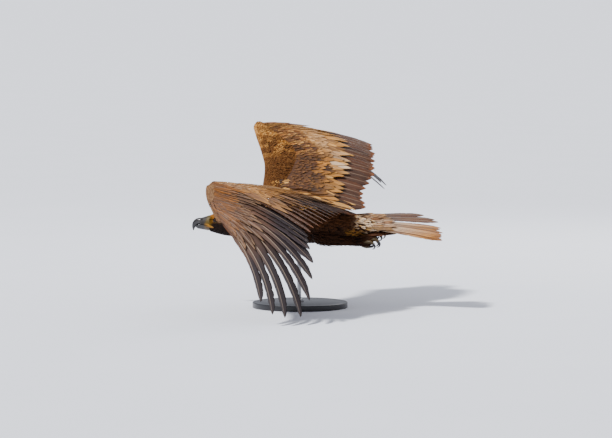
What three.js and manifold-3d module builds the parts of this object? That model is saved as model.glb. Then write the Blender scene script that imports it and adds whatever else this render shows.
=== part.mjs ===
// Golden eagle in flight, life size, held by a plain display stand.
// Millimetres, +Z up. The origin is the centre of the underside of the stand's base.
// The bird heads towards -X and banks to its left, so the left wing hangs on the -Y side.

import * as THREE from "three";
import Module from "manifold-3d";

const wasm = await Module();
wasm.setup();

// Driving dimensions. Bird sizes are in the bird's own frame: x towards the bill, y out to the
// left, z up the back, from a point in the middle of the trunk.
const GAP = 0.3;
const WELD = 0.001;
const SEED = 20411;
const BANK = THREE.MathUtils.degToRad(16.5);
const PITCH = THREE.MathUtils.degToRad(3.6);
const FLIGHT_HEIGHT = 292;

const BASE = { radius: 150, thickness: 18, bevel: 3, sides: 40 };
const ROD = { radius: 6.5, collarRadius: 15, collarHeight: 7, place: [-6, 14], sides: 16 };

// Trunk sections: place along the body, top, bottom, half width
const TRUNK = [
  [215.5, -23, -87, 33],
  [190, -3, -88, 43],
  [160, 24, -89, 54],
  [120, 48, -90, 65],
  [70, 60, -91, 71],
  [0, 60, -88, 70],
  [-60, 50, -83, 62],
  [-120, 33, -73, 50],
  [-165, 19, -61, 40],
  [-200, 8, -50, 32],
  [-250, -6, -34, 24],
];
const TRUNK_SIDES = 24;
const TORSO_RINGS = 11;
const NECK_RINGS = 5;
const TAIL_ROOT_RINGS = 5;
const NECK_START = 150;
const TAIL_START = -196;

// Head sections in its own level frame, from the middle of the skull
const SKULL = { x: 255.5, z: -50 };
const HEAD = [
  [-40, 27, -37, 33],
  [-15, 31, -36.5, 34.5],
  [10, 31, -33, 32.5],
  [30, 27.5, -29, 27],
  [46, 22.5, -26, 19.5],
];
const HEAD_SIDES = 24;
const HEAD_RINGS = 8;
const FACE_FRONT = 46;

// The mouth line's height at places along the head, and what lies over and under it
const MOUTH = [
  [46, -9],
  [61, -6.5],
  [75, -9],
  [86, -14],
];
const CERE = [
  [46, 21.5, 17.5],
  [58, 16.6, 14],
  [69, 13, 11],
];
const LOWER_BILL = [
  [46, -25.5, 16.5],
  [62, -24, 11.5],
  [78, -22, 7.5],
  [86, -17.5, 3],
];
// Middle line of the hooked upper bill with its half height and half width
const UPPER_BILL = [
  [69, 2.4, 10.6, 10.8],
  [79, 0.2, 10.2, 8.6],
  [87.5, -6.8, 8.8, 6],
  [91.5, -17, 5.6, 3.4],
  [91.5, -29, 1.2, 0.9],
];
const BILL_SIDES = 14;
const BILL_RINGS = { cere: 4, lower: 7, upper: 9 };
const EYE = { x: 15.6, y: 24.5, z: 10, radius: 8.5, detail: 2 };
const LID = { radius: 7.7, tube: 1.5, sides: [5, 12] };
// The brow that shades the eye and the gape under it, as lines of places on the left of the face
const RIDGE_SIDES = 6;
const RIDGE_END = 0.35;
const BROW = {
  stations: [[35, 20.5, 18.5], [27, 25.5, 21], [17, 29, 22], [7, 31.5, 21], [-2, 32.5, 18]],
  high: 3,
  wide: 4.2,
};
const GAPE = {
  stations: [[45.5, 18.4, -7.5], [36, 23.6, -9], [25, 27.4, -11.5], [14, 29.6, -14]],
  high: 2,
  wide: 2.6,
};
const NOSTRIL = { x: 64.5, z: 7.5, long: 2.6, high: 1.5, depth: 2.2 };

// Wing bones and edges, for the left wing
const WING_SIDES = 10;
const TANGENT_STEP = 0.02;
const FRONT_FULLNESS = 0.35;
const ARM = {
  front: [
    [137, 30, 42],
    [139, 75, 60],
    [151, 150, 94],
    [174, 203, 122],
    [209, 256, 157],
    [230, 289, 178],
  ],
  rear: [
    [30, 30, 42],
    [28, 75, 64],
    [16, 140, 107],
    [22, 192, 141],
    [108, 246, 171],
    [186, 295, 188],
  ],
  depth: [34, 32, 29, 27, 25, 22],
  camber: [2, 4, 7, 9, 10, 8],
  count: 10,
};
const HAND = {
  front: [
    [230, 289, 178],
    [222, 305, 150],
    [200, 330, 126],
    [168, 372, 99],
  ],
  rear: [
    [186, 295, 188],
    [180, 322, 165],
    [160, 352, 137],
    [140, 384, 104],
  ],
  depth: [22, 19, 15, 9],
  camber: [8, 6, 4, 1],
  count: 6,
};

// Small vector and number helpers
const vec = (p) => new THREE.Vector3(p[0], p[1], p[2]);
const mix = (a, b, t) => a + (b - a) * t;
const lerp = (a, b, t) => a.clone().lerp(b, t);

// A smooth curve through equally spaced numbers
function smooth(values, t) {
  const last = values.length - 1;
  const place = Math.min(Math.max(t, 0), 1) * last;
  const k = Math.min(Math.floor(place), last - 1);
  const f = place - k;
  const [b, c] = [values[k], values[k + 1]];
  const a = k > 0 ? values[k - 1] : 2 * b - c;
  const d = k + 2 <= last ? values[k + 2] : 2 * c - b;
  const slope = (c - a) / 2;
  const nextSlope = (d - b) / 2;
  return (
    b +
    slope * f +
    (3 * (c - b) - 2 * slope - nextSlope) * f * f +
    (2 * (b - c) + slope + nextSlope) * f * f * f
  );
}

// A smooth curve through equally spaced points
const curve = (points, t) => vec([0, 1, 2].map((axis) => smooth(points.map((p) => p[axis]), t)));

// A table's columns read at one place along its first column, which may rise or fall
function readAt(table, place) {
  const rising = table.at(-1)[0] > table[0][0];
  let k = 0;
  while (k < table.length - 2 && (rising ? table[k + 1][0] < place : table[k + 1][0] > place)) k++;
  const f = (place - table[k][0]) / (table[k + 1][0] - table[k][0]);
  const t = (k + f) / (table.length - 1);
  return table[0].slice(1).map((_, column) => smooth(table.map((row) => row[column + 1]), t));
}

// A closed geometry whose faces are turned outwards
function geometryOf(points, faces) {
  let volume = 0;
  for (let i = 0; i < faces.length; i += 3) {
    const [a, b, c] = [points[faces[i]], points[faces[i + 1]], points[faces[i + 2]]];
    volume += a.dot(b.clone().cross(c));
  }
  const turned = volume < 0 ? faces.slice().reverse() : faces;
  const positions = new Float32Array(points.flatMap((p) => [p.x, p.y, p.z]));
  return new THREE.BufferGeometry()
    .setAttribute("position", new THREE.BufferAttribute(positions, 3))
    .setIndex(turned);
}

// A closed skin through rings of points, capped at both ends
function loft(rings) {
  const sides = rings[0].length;
  const points = rings.flat();
  const middle = (ring) =>
    ring.reduce((sum, p) => sum.add(p), new THREE.Vector3()).multiplyScalar(1 / sides);
  const start = points.push(middle(rings[0])) - 1;
  const end = points.push(middle(rings.at(-1))) - 1;
  const faces = [];
  for (let k = 0; k < sides; k++) {
    const next = (k + 1) % sides;
    for (let r = 0; r + 1 < rings.length; r++) {
      const [a, b] = [r * sides + k, r * sides + next];
      faces.push(a, b, b + sides, a, b + sides, a + sides);
    }
    const top = (rings.length - 1) * sides;
    faces.push(start, next, k, end, top + k, top + next);
  }
  return geometryOf(points, faces);
}

// A thin plate over a grid of points, with triangles split alike on both faces
function plate(rows, thickness) {
  const [height, width] = [rows.length, rows[0].length];
  const near = (k, last) => [Math.max(k - 1, 0), Math.min(k + 1, last)];
  const points = [];
  for (const side of [1, -1])
    rows.forEach((row, r) =>
      row.forEach((p, c) => {
        const [r0, r1] = near(r, height - 1);
        const [c0, c1] = near(c, width - 1);
        const along = rows[r1][c].clone().sub(rows[r0][c]);
        const across = rows[r][c1].clone().sub(rows[r][c0]);
        const normal = along.cross(across).normalize();
        points.push(p.clone().addScaledVector(normal, (side * thickness(r, c)) / 2));
      }),
    );
  const under = height * width;
  const faces = [];
  for (let r = 0; r + 1 < height; r++)
    for (let c = 0; c + 1 < width; c++) {
      const a = r * width + c;
      const [b, d, e] = [a + 1, a + width, a + width + 1];
      faces.push(a, d, e, a, e, b);
      faces.push(a + under, e + under, d + under, a + under, b + under, e + under);
    }
  const wall = (a, b) => faces.push(a, b, b + under, a, b + under, a + under);
  for (let r = 0; r + 1 < height; r++) {
    wall((r + 1) * width, r * width);
    wall((r + 1) * width - 1, (r + 2) * width - 1);
  }
  for (let c = 0; c + 1 < width; c++) {
    wall(c, c + 1);
    wall((height - 1) * width + c + 1, (height - 1) * width + c);
  }
  return geometryOf(points, faces);
}

// Solids to join and cut, and the geometry that they give back
const solidOf = (geometry) =>
  new wasm.Manifold(
    new wasm.Mesh({
      numProp: 3,
      vertProperties: geometry.attributes.position.array,
      triVerts: new Uint32Array(geometry.index.array),
    }),
  );
const join = (geometries) => geometries.map(solidOf).reduce((sum, solid) => sum.add(solid));

// The largest closed surface of a solid, as geometry
function bodyOf(solid) {
  const bodies = solid.decompose();
  const body = bodies.reduce((best, b) => (b.volume() > best.volume() ? b : best));
  const mesh = body.getMesh();
  return new THREE.BufferGeometry()
    .setAttribute("position", new THREE.BufferAttribute(new Float32Array(mesh.vertProperties), 3))
    .setIndex(Array.from(mesh.triVerts));
}

// The same geometry on the bird's other side
function mirrored(geometry) {
  const other = geometry.clone().scale(1, -1, 1);
  other.setIndex(Array.from(other.index.array).reverse());
  return other;
}

// Materials
const finish = (color, roughness, metalness = 0) =>
  new THREE.MeshStandardMaterial({ color, roughness, metalness, flatShading: true });
const MATERIALS = {
  body: finish(0x3a2414, 0.85),
  crown: finish(0x7d5636, 0.85),
  wing: finish(0x6f4e33, 0.8),
  flight: finish(0x4b3a33, 0.7),
  tail: finish(0x8a7466, 0.75),
  bill: finish(0x3c3a3c, 0.35),
  cere: finish(0x9a7a22, 0.5),
  eye: finish(0x1a0f08, 0.08),
  toe: finish(0xb08a2a, 0.6),
  claw: finish(0x17151a, 0.3),
  base: finish(0x2b2b2d, 0.5),
  rod: finish(0x9a9a9c, 0.3, 1),
};

// The scene graph: the stand on the floor, and the bird turned to its heading, pitch and bank
const eagle = new THREE.Group();
const heading = new THREE.Group();
const bird = new THREE.Group();
heading.position.z = FLIGHT_HEIGHT;
heading.rotation.z = Math.PI;
bird.rotation.set(-BANK, -PITCH, 0, "YXZ");
eagle.add(heading);
heading.add(bird);
eagle.updateMatrixWorld(true);

function add(group, name, geometry, material) {
  const flat = geometry.toNonIndexed();
  flat.computeVertexNormals();
  const mesh = new THREE.Mesh(flat, material);
  mesh.name = name;
  group.add(mesh);
}

// Trunk, neck and tail root

function ovalRing(x, [top, bottom, halfWidth], sides, grow = 0) {
  const [middle, half] = [(top + bottom) / 2, (top - bottom) / 2 + grow];
  return Array.from({ length: sides }, (_, k) => {
    const angle = (2 * Math.PI * k) / sides;
    return vec([x, (halfWidth + grow) * Math.cos(angle), middle + half * Math.sin(angle)]);
  });
}
const trunkRing = (x, grow = 0) => ovalRing(x, readAt(TRUNK, x), TRUNK_SIDES, grow);

// A point of the level head, in the bird's frame
const headPoint = (p) =>
  vec(p).applyAxisAngle(new THREE.Vector3(1, 0, 0), BANK).add(vec([SKULL.x, 0, SKULL.z]));
const headRing = (x) =>
  ovalRing(x, readAt(HEAD, x), HEAD_SIDES).map((p) => headPoint([p.x, p.y, p.z]));

const spread = (from, to, count) => Array.from({ length: count }, (_, k) => mix(from, to, k / (count - 1)));
const torsoGeometry = (grow = 0) =>
  loft(spread(NECK_START, TAIL_START, TORSO_RINGS).map((x) => trunkRing(x, grow)));

function neckGeometry() {
  const rings = spread(0, 1, NECK_RINGS).map((t) => {
    const ring = trunkRing(mix(NECK_START + GAP, TRUNK[0][0] - GAP, t));
    const skull = headRing(HEAD[0][0]).map((p) => p.setX(p.x - GAP));
    return ring.map((p, k) => lerp(p, skull[k], t * t));
  });
  return loft(rings);
}

// Head, bill and eyes

// Rings across a bent middle line in the head's frame, with half heights and half widths
function bentRings(stations, sides, place) {
  return stations.map(([x, z, high, wide], k) => {
    const before = stations[Math.max(k - 1, 0)];
    const after = stations[Math.min(k + 1, stations.length - 1)];
    const rise = k > 0 ? after[1] - before[1] : 0;
    const run = new THREE.Vector2(after[0] - before[0], rise).normalize();
    return Array.from({ length: sides }, (_, n) => {
      const angle = (2 * Math.PI * n) / sides;
      const lift = high * Math.sin(angle);
      return place([x - run.y * lift, wide * Math.cos(angle), z + run.x * lift]);
    });
  });
}

// Rings of a low ridge along a line on one side of the face, thin at both ends
function ridgeRings(stations, high, wide, side) {
  return stations.map(([x, y, z], k) => {
    const full = k > 0 && k < stations.length - 1 ? 1 : RIDGE_END;
    return Array.from({ length: RIDGE_SIDES }, (_, n) => {
      const angle = (2 * Math.PI * n) / RIDGE_SIDES;
      const [out, lift] = [wide * full * Math.cos(angle), high * full * Math.sin(angle)];
      return headPoint([x, side * (y + out), z + lift]);
    });
  });
}

// Half rings from the mouth line up or down to a crown
function archRing(x, base, crown, halfWidth) {
  return Array.from({ length: BILL_SIDES + 1 }, (_, n) => {
    const angle = (Math.PI * n) / BILL_SIDES;
    return headPoint([x, halfWidth * Math.cos(angle), base + (crown - base) * Math.sin(angle)]);
  });
}

function headGeometry() {
  const skull = loft(spread(HEAD[0][0], FACE_FRONT, HEAD_RINGS).map(headRing));
  const rims = [BROW, GAPE].flatMap(({ stations, high, wide }) =>
    [1, -1].map((side) => loft(ridgeRings(stations, high, wide, side))),
  );
  const sockets = [];
  for (const side of [1, -1]) {
    const centre = headPoint([EYE.x, side * EYE.y, EYE.z]);
    const socket = new THREE.IcosahedronGeometry(EYE.radius + GAP, EYE.detail);
    sockets.push(weld(socket.translate(centre.x, centre.y, centre.z)));
    const seat = Math.sqrt((EYE.radius + GAP) ** 2 - LID.radius ** 2);
    const lid = new THREE.TorusGeometry(LID.radius, LID.tube, ...LID.sides);
    const out = headPoint([EYE.x, side * (EYE.y + seat), EYE.z]);
    lid.rotateX(Math.PI / 2 + BANK);
    rims.push(weld(lid.translate(out.x, out.y, out.z)));
  }
  return bodyOf(sockets.reduce((sum, s) => sum.subtract(solidOf(s)), join([skull, ...rims])));
}

// A geometry class's surface with its seams closed
function weld(geometry) {
  const source = geometry.index ? geometry.toNonIndexed() : geometry;
  const places = new Map();
  const points = [];
  const position = source.attributes.position;
  const corners = Array.from({ length: position.count }, (_, i) => {
    const p = new THREE.Vector3().fromBufferAttribute(position, i);
    const key = [p.x, p.y, p.z].map((n) => Math.round(n / WELD)).join();
    if (!places.has(key)) places.set(key, points.push(p) - 1);
    return places.get(key);
  });
  const faces = [];
  for (let i = 0; i < corners.length; i += 3) {
    const [a, b, c] = corners.slice(i, i + 3);
    if (a !== b && b !== c && c !== a) faces.push(a, b, c);
  }
  return geometryOf(points, faces);
}

function cereGeometry() {
  const body = loft(
    spread(FACE_FRONT + GAP, CERE.at(-1)[0], BILL_RINGS.cere).map((x) => {
      const [crown, halfWidth] = readAt(CERE, x);
      return archRing(x, readAt(MOUTH, x)[0], crown, halfWidth);
    }),
  );
  const [crown, halfWidth] = readAt(CERE, NOSTRIL.x);
  const mouth = readAt(MOUTH, NOSTRIL.x)[0];
  const rise = (NOSTRIL.z - mouth) / (crown - mouth);
  const wall = halfWidth * Math.sqrt(1 - rise * rise);
  const pockets = [1, -1].map((side) => {
    const ring = (y) =>
      Array.from({ length: RIDGE_SIDES }, (_, n) => {
        const angle = (2 * Math.PI * n) / RIDGE_SIDES;
        return headPoint([
          NOSTRIL.x + NOSTRIL.long * Math.cos(angle),
          side * y,
          NOSTRIL.z + NOSTRIL.high * Math.sin(angle),
        ]);
      });
    return solidOf(loft([ring(wall - NOSTRIL.depth), ring(wall + NOSTRIL.depth)]));
  });
  return bodyOf(pockets.reduce((solid, pocket) => solid.subtract(pocket), solidOf(body)));
}

function lowerBillGeometry() {
  const bill = loft(
    spread(FACE_FRONT + GAP, LOWER_BILL.at(-1)[0], BILL_RINGS.lower).map((x) => {
      const [crown, halfWidth] = readAt(LOWER_BILL, x);
      return archRing(x, readAt(MOUTH, x)[0] - 2 * GAP, crown, halfWidth);
    }),
  );
  return bodyOf(solidOf(bill).subtract(solidOf(upperBillGeometry(GAP))));
}

function upperBillGeometry(grow = 0) {
  const stations = spread(0, 1, BILL_RINGS.upper).map((t) => {
    const [x, z, high, wide] = [0, 1, 2, 3].map((c) => smooth(UPPER_BILL.map((row) => row[c]), t));
    return [x, z, high + grow, wide + grow];
  });
  stations[0][0] += GAP;
  return loft(bentRings(stations, BILL_SIDES, headPoint));
}

// Wings, built as the left one

// Rings of an arm or hand between its front and rear edges, grown for the room they take up
function limbRings({ front, rear, depth, camber, count }, grow = 0) {
  const rings = wingRings(front, rear, depth, camber, count);
  if (!grow) return rings;
  const roomy = rings.map((ring) => {
    const middle = ring.reduce((sum, p) => sum.add(p), new THREE.Vector3()).divideScalar(ring.length);
    return ring.map((p) => p.clone().addScaledVector(p.clone().sub(middle).normalize(), grow));
  });
  const [from, to] = [curve(rear, 1 - 1 / count), curve(rear, 1)];
  const outward = to.sub(from).normalize();
  roomy.at(-1).forEach((p) => p.addScaledVector(outward, grow));
  return roomy;
}

// Oval rings between a limb's front and rear edges, fuller at the front and arched along the chord
function wingRings(front, rear, depth, camber, count) {
  return spread(0, 1, count).map((t) => {
    const [lead, trail] = [curve(front, t), curve(rear, t)];
    const chord = trail.clone().sub(lead);
    const [later, earlier] = [Math.min(t + TANGENT_STEP, 1), Math.max(t - TANGENT_STEP, 0)];
    const spanEnd = curve(rear, later).add(curve(front, later));
    const spanStart = curve(rear, earlier).add(curve(front, earlier));
    const up = spanEnd.sub(spanStart).cross(chord).normalize();
    const [half, arch] = [smooth(depth, t) / 2, smooth(camber, t)];
    return Array.from({ length: WING_SIDES }, (_, n) => {
      const angle = (2 * Math.PI * n) / WING_SIDES;
      const place = (1 - Math.cos(angle)) / 2;
      const lift = half * Math.sin(angle) * (1 + FRONT_FULLNESS * Math.cos(angle));
      const bow = arch * Math.sin(Math.PI * place);
      return lead.clone().addScaledVector(chord, place).addScaledVector(up, lift + bow);
    });
  });
}

// Flight feathers: shaft roots, and the way each vane faces, from the body out to the wing tip
const ARM_ROOTS = [
  [58, 56, 66],
  [56, 100, 86],
  [48, 150, 116],
  [62, 196, 146],
  [112, 232, 166],
  [160, 262, 180],
  [196, 284, 188],
];
const ARM_UPS = [
  [-0.08, -0.42, 0.9],
  [-0.1, -0.4, 0.91],
  [-0.12, -0.34, 0.93],
  [-0.15, -0.22, 0.96],
  [-0.19, -0.02, 0.98],
];
const HAND_ROOTS = [
  [206, 300, 178],
  [190, 335, 146],
  [154, 378, 106],
];
const HAND_UPS = [
  [-0.17, 0.1, 0.97],
  [-0.1, 0.35, 0.93],
  [0, 0.56, 0.82],
  [0.03, 0.64, 0.77],
];

// Feather tips of each wing as it beats, mirrored on to the left side
const TIPS = {
  left: {
    arm: [
      [-200, 38, 30],
      [-184, 90, 50],
      [-190, 152, 80],
      [-182, 208, 97],
      [-168, 266, 103],
      [-152, 330, 104],
      [-128, 392, 103],
    ],
    hand: [
      [-126, 418, 95],
      [-131, 435, 85],
      [-140, 452, 68],
      [-156, 478, 36],
      [-166, 530, 4],
      [-167, 572, -46],
      [-147, 600, -92],
      [-106, 632, -84],
      [-70, 640, -74],
      [-27, 612, -48],
    ],
  },
  right: {
    arm: [
      [-204, 38, 30],
      [-186, 88, 52],
      [-200, 150, 80],
      [-194, 204, 98],
      [-184, 262, 107],
      [-170, 322, 113],
      [-152, 378, 117],
    ],
    hand: [
      [-146, 400, 107],
      [-143, 420, 88],
      [-141, 440, 61],
      [-140, 462, 28],
      [-134, 500, -18],
      [-153, 560, -104],
      [-150, 600, -106],
      [-126, 628, -108],
      [-85, 636, -98],
      [-35, 610, -70],
    ],
  },
};

// Widths of a vane from root to tip, as a place along the shaft and a share of the full width
const SHAPES = {
  broad: [[0, 0.3], [0.3, 0.85], [0.62, 1], [0.9, 0.82], [1, 0.25]],
  finger: [[0, 0.3], [0.34, 1], [0.48, 0.55], [0.86, 0.46], [1, 0.12]],
  covert: [[0, 0.5], [0.42, 0.9], [0.8, 1], [1, 0.35]],
  strap: [[0, 0.5], [0.7, 1], [1, 0.35]],
};
const FLIGHT_ARCH = 0.045;
const ROOF = 0.03;
const LEAN = 0.16;
// Each tier: how many, where its vanes begin (at the body and at the far end) and stop along the
// flight feathers' shafts, how far they ride over them, their width at the body and at the far
// end, and the share of it before the shaft
const SECONDARIES = {
  count: 18,
  start: [0, 0],
  stop: 1,
  lift: [0, 0],
  width: [45, 45],
  fore: [0.36, 0.36],
};
const GREATER_COVERTS = {
  count: 13,
  start: [0.02, 0.02],
  stop: 0.7,
  lift: [9, 10],
  width: [40, 34],
  fore: [0.42, 0.42],
};
const MEDIAN_COVERTS = {
  count: 11,
  start: [-0.11, 0],
  stop: 0.4,
  lift: [10, 18],
  width: [42, 32],
  fore: [0.45, 0.45],
};
const PRIMARIES = {
  count: 10,
  start: [0, 0],
  stop: 1,
  lift: [0, 0],
  width: [46, 36],
  fore: [0.36, 0.28],
  roof: ROOF,
};
const PRIMARY_COVERTS = {
  count: 9,
  start: [0.01, 0.01],
  stop: 0.38,
  lift: [7, 10],
  width: [25, 20],
  fore: [0.45, 0.3],
};
// How far the shafts bow backwards, from the body's end of each row to its far end
const ARM_SWEEP = [0.02, 0.02];
const HAND_SWEEP = [0.02, 0.05, 0.1, 0.07];
const VANE_ROOT_DEPTH = 1.4;
const VANE_TIP_DEPTH = 0.8;
const BROAD_PRIMARIES = 4;
const UNEVEN = 0.03;
const ALULA = {
  roots: [
    [214, 304, 166],
    [207, 312, 163],
    [200, 320, 161],
  ],
  tips: [
    [140, 392, 92],
    [122, 384, 112],
    [116, 372, 130],
  ],
  width: 22,
  fore: 0.4,
};

// Seeded random numbers from 0 to 1
function randomSource(seed) {
  let state = seed;
  return () => {
    state = (state * 16807) % 2147483647;
    return state / 2147483647;
  };
}

// One vane along the path of its shaft: a thin plate, roofed where it is a primary, its outer
// edge leaning up over the next one
function vane({ path, up, width, fore, lean = LEAN, roof = 0, shape }) {
  const along = path(1).sub(path(0));
  const side = along.clone().cross(up).normalize();
  const facing = side.clone().cross(along).normalize();
  const across = side.clone().multiplyScalar(Math.cos(lean)).addScaledVector(facing, Math.sin(lean));
  const rows = shape.map(([u, share]) => {
    const edge = (reach) => path(u).addScaledVector(across, reach * width * share);
    const ridge = path(u).addScaledVector(facing, roof * width * share);
    return roof ? [edge(fore), ridge, edge(fore - 1)] : [edge(fore), edge(fore - 1)];
  });
  return plate(rows, (r) => mix(VANE_ROOT_DEPTH, VANE_TIP_DEPTH, shape[r][0]));
}

// The path of a flight feather's shaft, arched upwards and swept backwards
function shaftPath(root, tip, up, sweep) {
  const along = tip.clone().sub(root);
  const side = along.clone().cross(up).normalize();
  return (u) => {
    const bow = along.length() * 4 * u * (1 - u);
    const path = root.clone().addScaledVector(along, u);
    return path.addScaledVector(up, FLIGHT_ARCH * bow).addScaledVector(side, -sweep * bow);
  };
}

// A tier of vanes from the body outwards, each along a part of a flight feather's shaft
function tier(roots, tips, ups, sweep, spec, shapeOf, random) {
  const { count, start, stop, lift, width, fore } = spec;
  return spread(0, 1, count).map((t, k) => {
    const up = curve(ups, t).normalize();
    const shaft = shaftPath(curve(roots, t), curve(tips, t), up, smooth(sweep, t));
    const end = stop * (1 + UNEVEN * (random() - 0.5));
    const begin = mix(start[0], start[1], t);
    return vane({
      path: (u) => shaft(mix(begin, end, u)).addScaledVector(up, mix(lift[0], lift[1], u)),
      up,
      width: mix(width[0], width[1], t * t),
      fore: mix(fore[0], fore[1], t * t),
      roof: spec.roof,
      shape: shapeOf(k),
    });
  });
}

function armSolid(tips, torso, random) {
  const broad = () => SHAPES.broad;
  const covert = () => SHAPES.covert;
  return join([
    loft(limbRings(ARM)),
    ...tier(ARM_ROOTS, tips.arm, ARM_UPS, ARM_SWEEP, SECONDARIES, broad, random),
    ...tier(ARM_ROOTS, tips.arm, ARM_UPS, ARM_SWEEP, GREATER_COVERTS, covert, random),
    ...tier(ARM_ROOTS, tips.arm, ARM_UPS, ARM_SWEEP, MEDIAN_COVERTS, covert, random),
  ]).subtract(torso);
}

function handSolid(tips, random) {
  const rings = limbRings(HAND);
  rings[0] = limbRings(ARM).at(-1);
  const finger = (k) => (k < BROAD_PRIMARIES ? SHAPES.broad : SHAPES.finger);
  const up = vec(HAND_UPS[2]).normalize();
  const alula = ALULA.roots.map((root, k) =>
    vane({
      path: shaftPath(vec(root), vec(ALULA.tips[k]), up, 0),
      up,
      width: ALULA.width,
      fore: ALULA.fore,
      shape: SHAPES.strap,
    }),
  );
  return join([
    loft(rings),
    ...alula,
    ...tier(HAND_ROOTS, tips.hand, HAND_UPS, HAND_SWEEP, PRIMARIES, finger, random),
    ...tier(HAND_ROOTS, tips.hand, HAND_UPS, HAND_SWEEP, PRIMARY_COVERTS, () => SHAPES.strap, random),
  ]).subtract(solidOf(loft(limbRings(ARM, GAP))));
}

// Tail, from its left side to its right: the fan opens further on the right, as the bird steers
const TAIL_ROOTS = [
  [-206, 17, -17],
  [-208, 6, -13],
  [-206, -8, -11],
  [-192, -24, -9],
  [-176, -40, -6],
];
const TAIL_TIPS = [
  [-462, 46, -30],
  [-463, 26, -26],
  [-458, 6, -24],
  [-450, -26, -23],
  [-440, -56, -23],
  [-420, -86, -22],
  [-374, -115, -20],
];
const TAIL_UPS = [
  [0, 0.14, 1],
  [0, 0, 1],
  [0, -0.14, 1],
];
const RECTRICES = { count: 12, start: 0, stop: 1, lift: [0, 0], width: 44, fore: 0.42 };
const UPPER_TAIL_COVERTS = { count: 7, start: -0.02, stop: 0.36, lift: [3, 4], width: 30, fore: 0.5 };
const UNDER_TAIL_COVERTS = { count: 5, start: 0, stop: 0.42, lift: [-26, -12], width: 34, fore: 0.5 };
const RECTRIX = [[0, 0.3], [0.3, 0.75], [0.72, 1], [0.93, 0.85], [1, 0.22]];

function tailSolid(torso, random) {
  const places = spread(TAIL_START - GAP, TRUNK.at(-1)[0], TAIL_ROOT_RINGS);
  const root = loft(places.map((x) => trunkRing(x)));
  const rows = [
    [RECTRICES, RECTRIX],
    [UPPER_TAIL_COVERTS, SHAPES.strap],
    [UNDER_TAIL_COVERTS, SHAPES.strap],
  ];
  const vanes = rows.flatMap(([{ count, start, stop, lift, width, fore }, shape]) =>
    spread(0, 1, count).map((t) => {
      const [base, tip, up] = [curve(TAIL_ROOTS, t), curve(TAIL_TIPS, t), curve(TAIL_UPS, t).normalize()];
      const end = stop * (1 + UNEVEN * (random() - 0.5));
      const path = (u) =>
        lerp(base, tip, mix(start, end, u)).addScaledVector(up, mix(lift[0], lift[1], u));
      return vane({ path, up, width, fore, lean: LEAN * (1 - 2 * t), shape });
    }),
  );
  return join([root, ...vanes]).subtract(torso);
}

// Legs, tucked back under the tail
const THIGH = [
  [-36, 30, -34, 25],
  [-66, 38, -46, 27],
  [-100, 41, -52, 24],
  [-140, 38, -58, 14],
];
const TARSUS = [
  [-140.3, 38, -58, 13.5],
  [-170, 36, -60, 11.5],
  [-204, 34, -61, 10],
];
const LEG_SIDES = 10;
const LEG_RINGS = { thigh: 6, tarsus: 4, palm: 4, toe: 4, claw: 5 };

const TOE_SIDES = 6;
// Toes of the left foot, closed under the tail: stations of x, y, z and radius, then their claws
const TOES = {
  inner: {
    toe: [[-206, 30, -60, 6], [-223, 27, -54, 6], [-240, 25, -49, 5.4], [-252, 24.5, -54, 4.4]],
    claw: [[-253, 24.4, -57, 4], [-258, 24, -64, 3.4], [-255, 24, -72, 2.2], [-247, 24, -76, 0.5]],
  },
  middle: {
    toe: [[-206, 36, -60, 6], [-226, 37, -52, 6], [-247, 38, -47, 5.4], [-261, 38.5, -52, 4.4]],
    claw: [[-262, 38.6, -55, 4], [-266, 39, -61, 3.2], [-263, 39, -69, 2], [-256, 39, -73, 0.5]],
  },
  outer: {
    toe: [[-206, 42, -61, 5.6], [-222, 47, -55, 5.6], [-237, 51, -52, 5], [-248, 52.5, -56, 4.2]],
    claw: [[-249, 52.6, -59, 3.8], [-253, 53, -65, 3], [-250, 53, -72, 1.9], [-244, 53, -75, 0.5]],
  },
  rear: {
    toe: [[-205, 35, -66, 6], [-212, 34, -72, 5.8], [-221, 33, -75, 5.2], [-230, 32.5, -75, 4.4]],
    claw: [[-233, 32.4, -75, 4.2], [-241, 32, -73, 3.6], [-246, 32, -67, 2.4], [-247, 32, -61, 0.5]],
  },
};
const PALM = [[-204.3, 34, -61, 10], [-209, 35, -62, 11], [-215, 36, -62, 9], [-220, 36, -61, 5]];

// A round body through stations of place and radius, its rings across its own run, or with grow
// the room that it needs round it and past its end
function round(stations, count, sides, grow = 0) {
  const at = (t) => [0, 1, 2, 3].map((c) => smooth(stations.map((row) => row[c]), t));
  const rings = spread(0, 1, count).map((t) => {
    const [x, y, z, radius] = at(t);
    const [later, earlier] = [Math.min(t + TANGENT_STEP, 1), Math.max(t - TANGENT_STEP, 0)];
    const run = vec(at(later)).sub(vec(at(earlier))).normalize();
    const centre = vec([x, y, z]).addScaledVector(run, t === 1 ? grow : 0);
    const high = run.clone().cross(new THREE.Vector3(0, 1, 0)).normalize();
    const side = high.clone().cross(run).normalize();
    return Array.from({ length: sides }, (_, n) => {
      const angle = (2 * Math.PI * n) / sides;
      return centre
        .clone()
        .addScaledVector(side, (radius + grow) * Math.cos(angle))
        .addScaledVector(high, (radius + grow) * Math.sin(angle));
    });
  });
  return loft(rings);
}

// A leg's length with its rings square to the body, so that lengths meet face to face
function legLength(stations, count, grow = 0) {
  const rings = spread(0, 1, count).map((t) => {
    const [x, y, z, radius] = [0, 1, 2, 3].map((c) => smooth(stations.map((row) => row[c]), t));
    return Array.from({ length: LEG_SIDES }, (_, n) => {
      const angle = (2 * Math.PI * n) / LEG_SIDES;
      const [across, lift] = [(radius + grow) * Math.cos(angle), (radius + grow) * Math.sin(angle)];
      return vec([t === 1 ? x - grow : x, y + across, z + lift]);
    });
  });
  return loft(rings);
}

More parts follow.
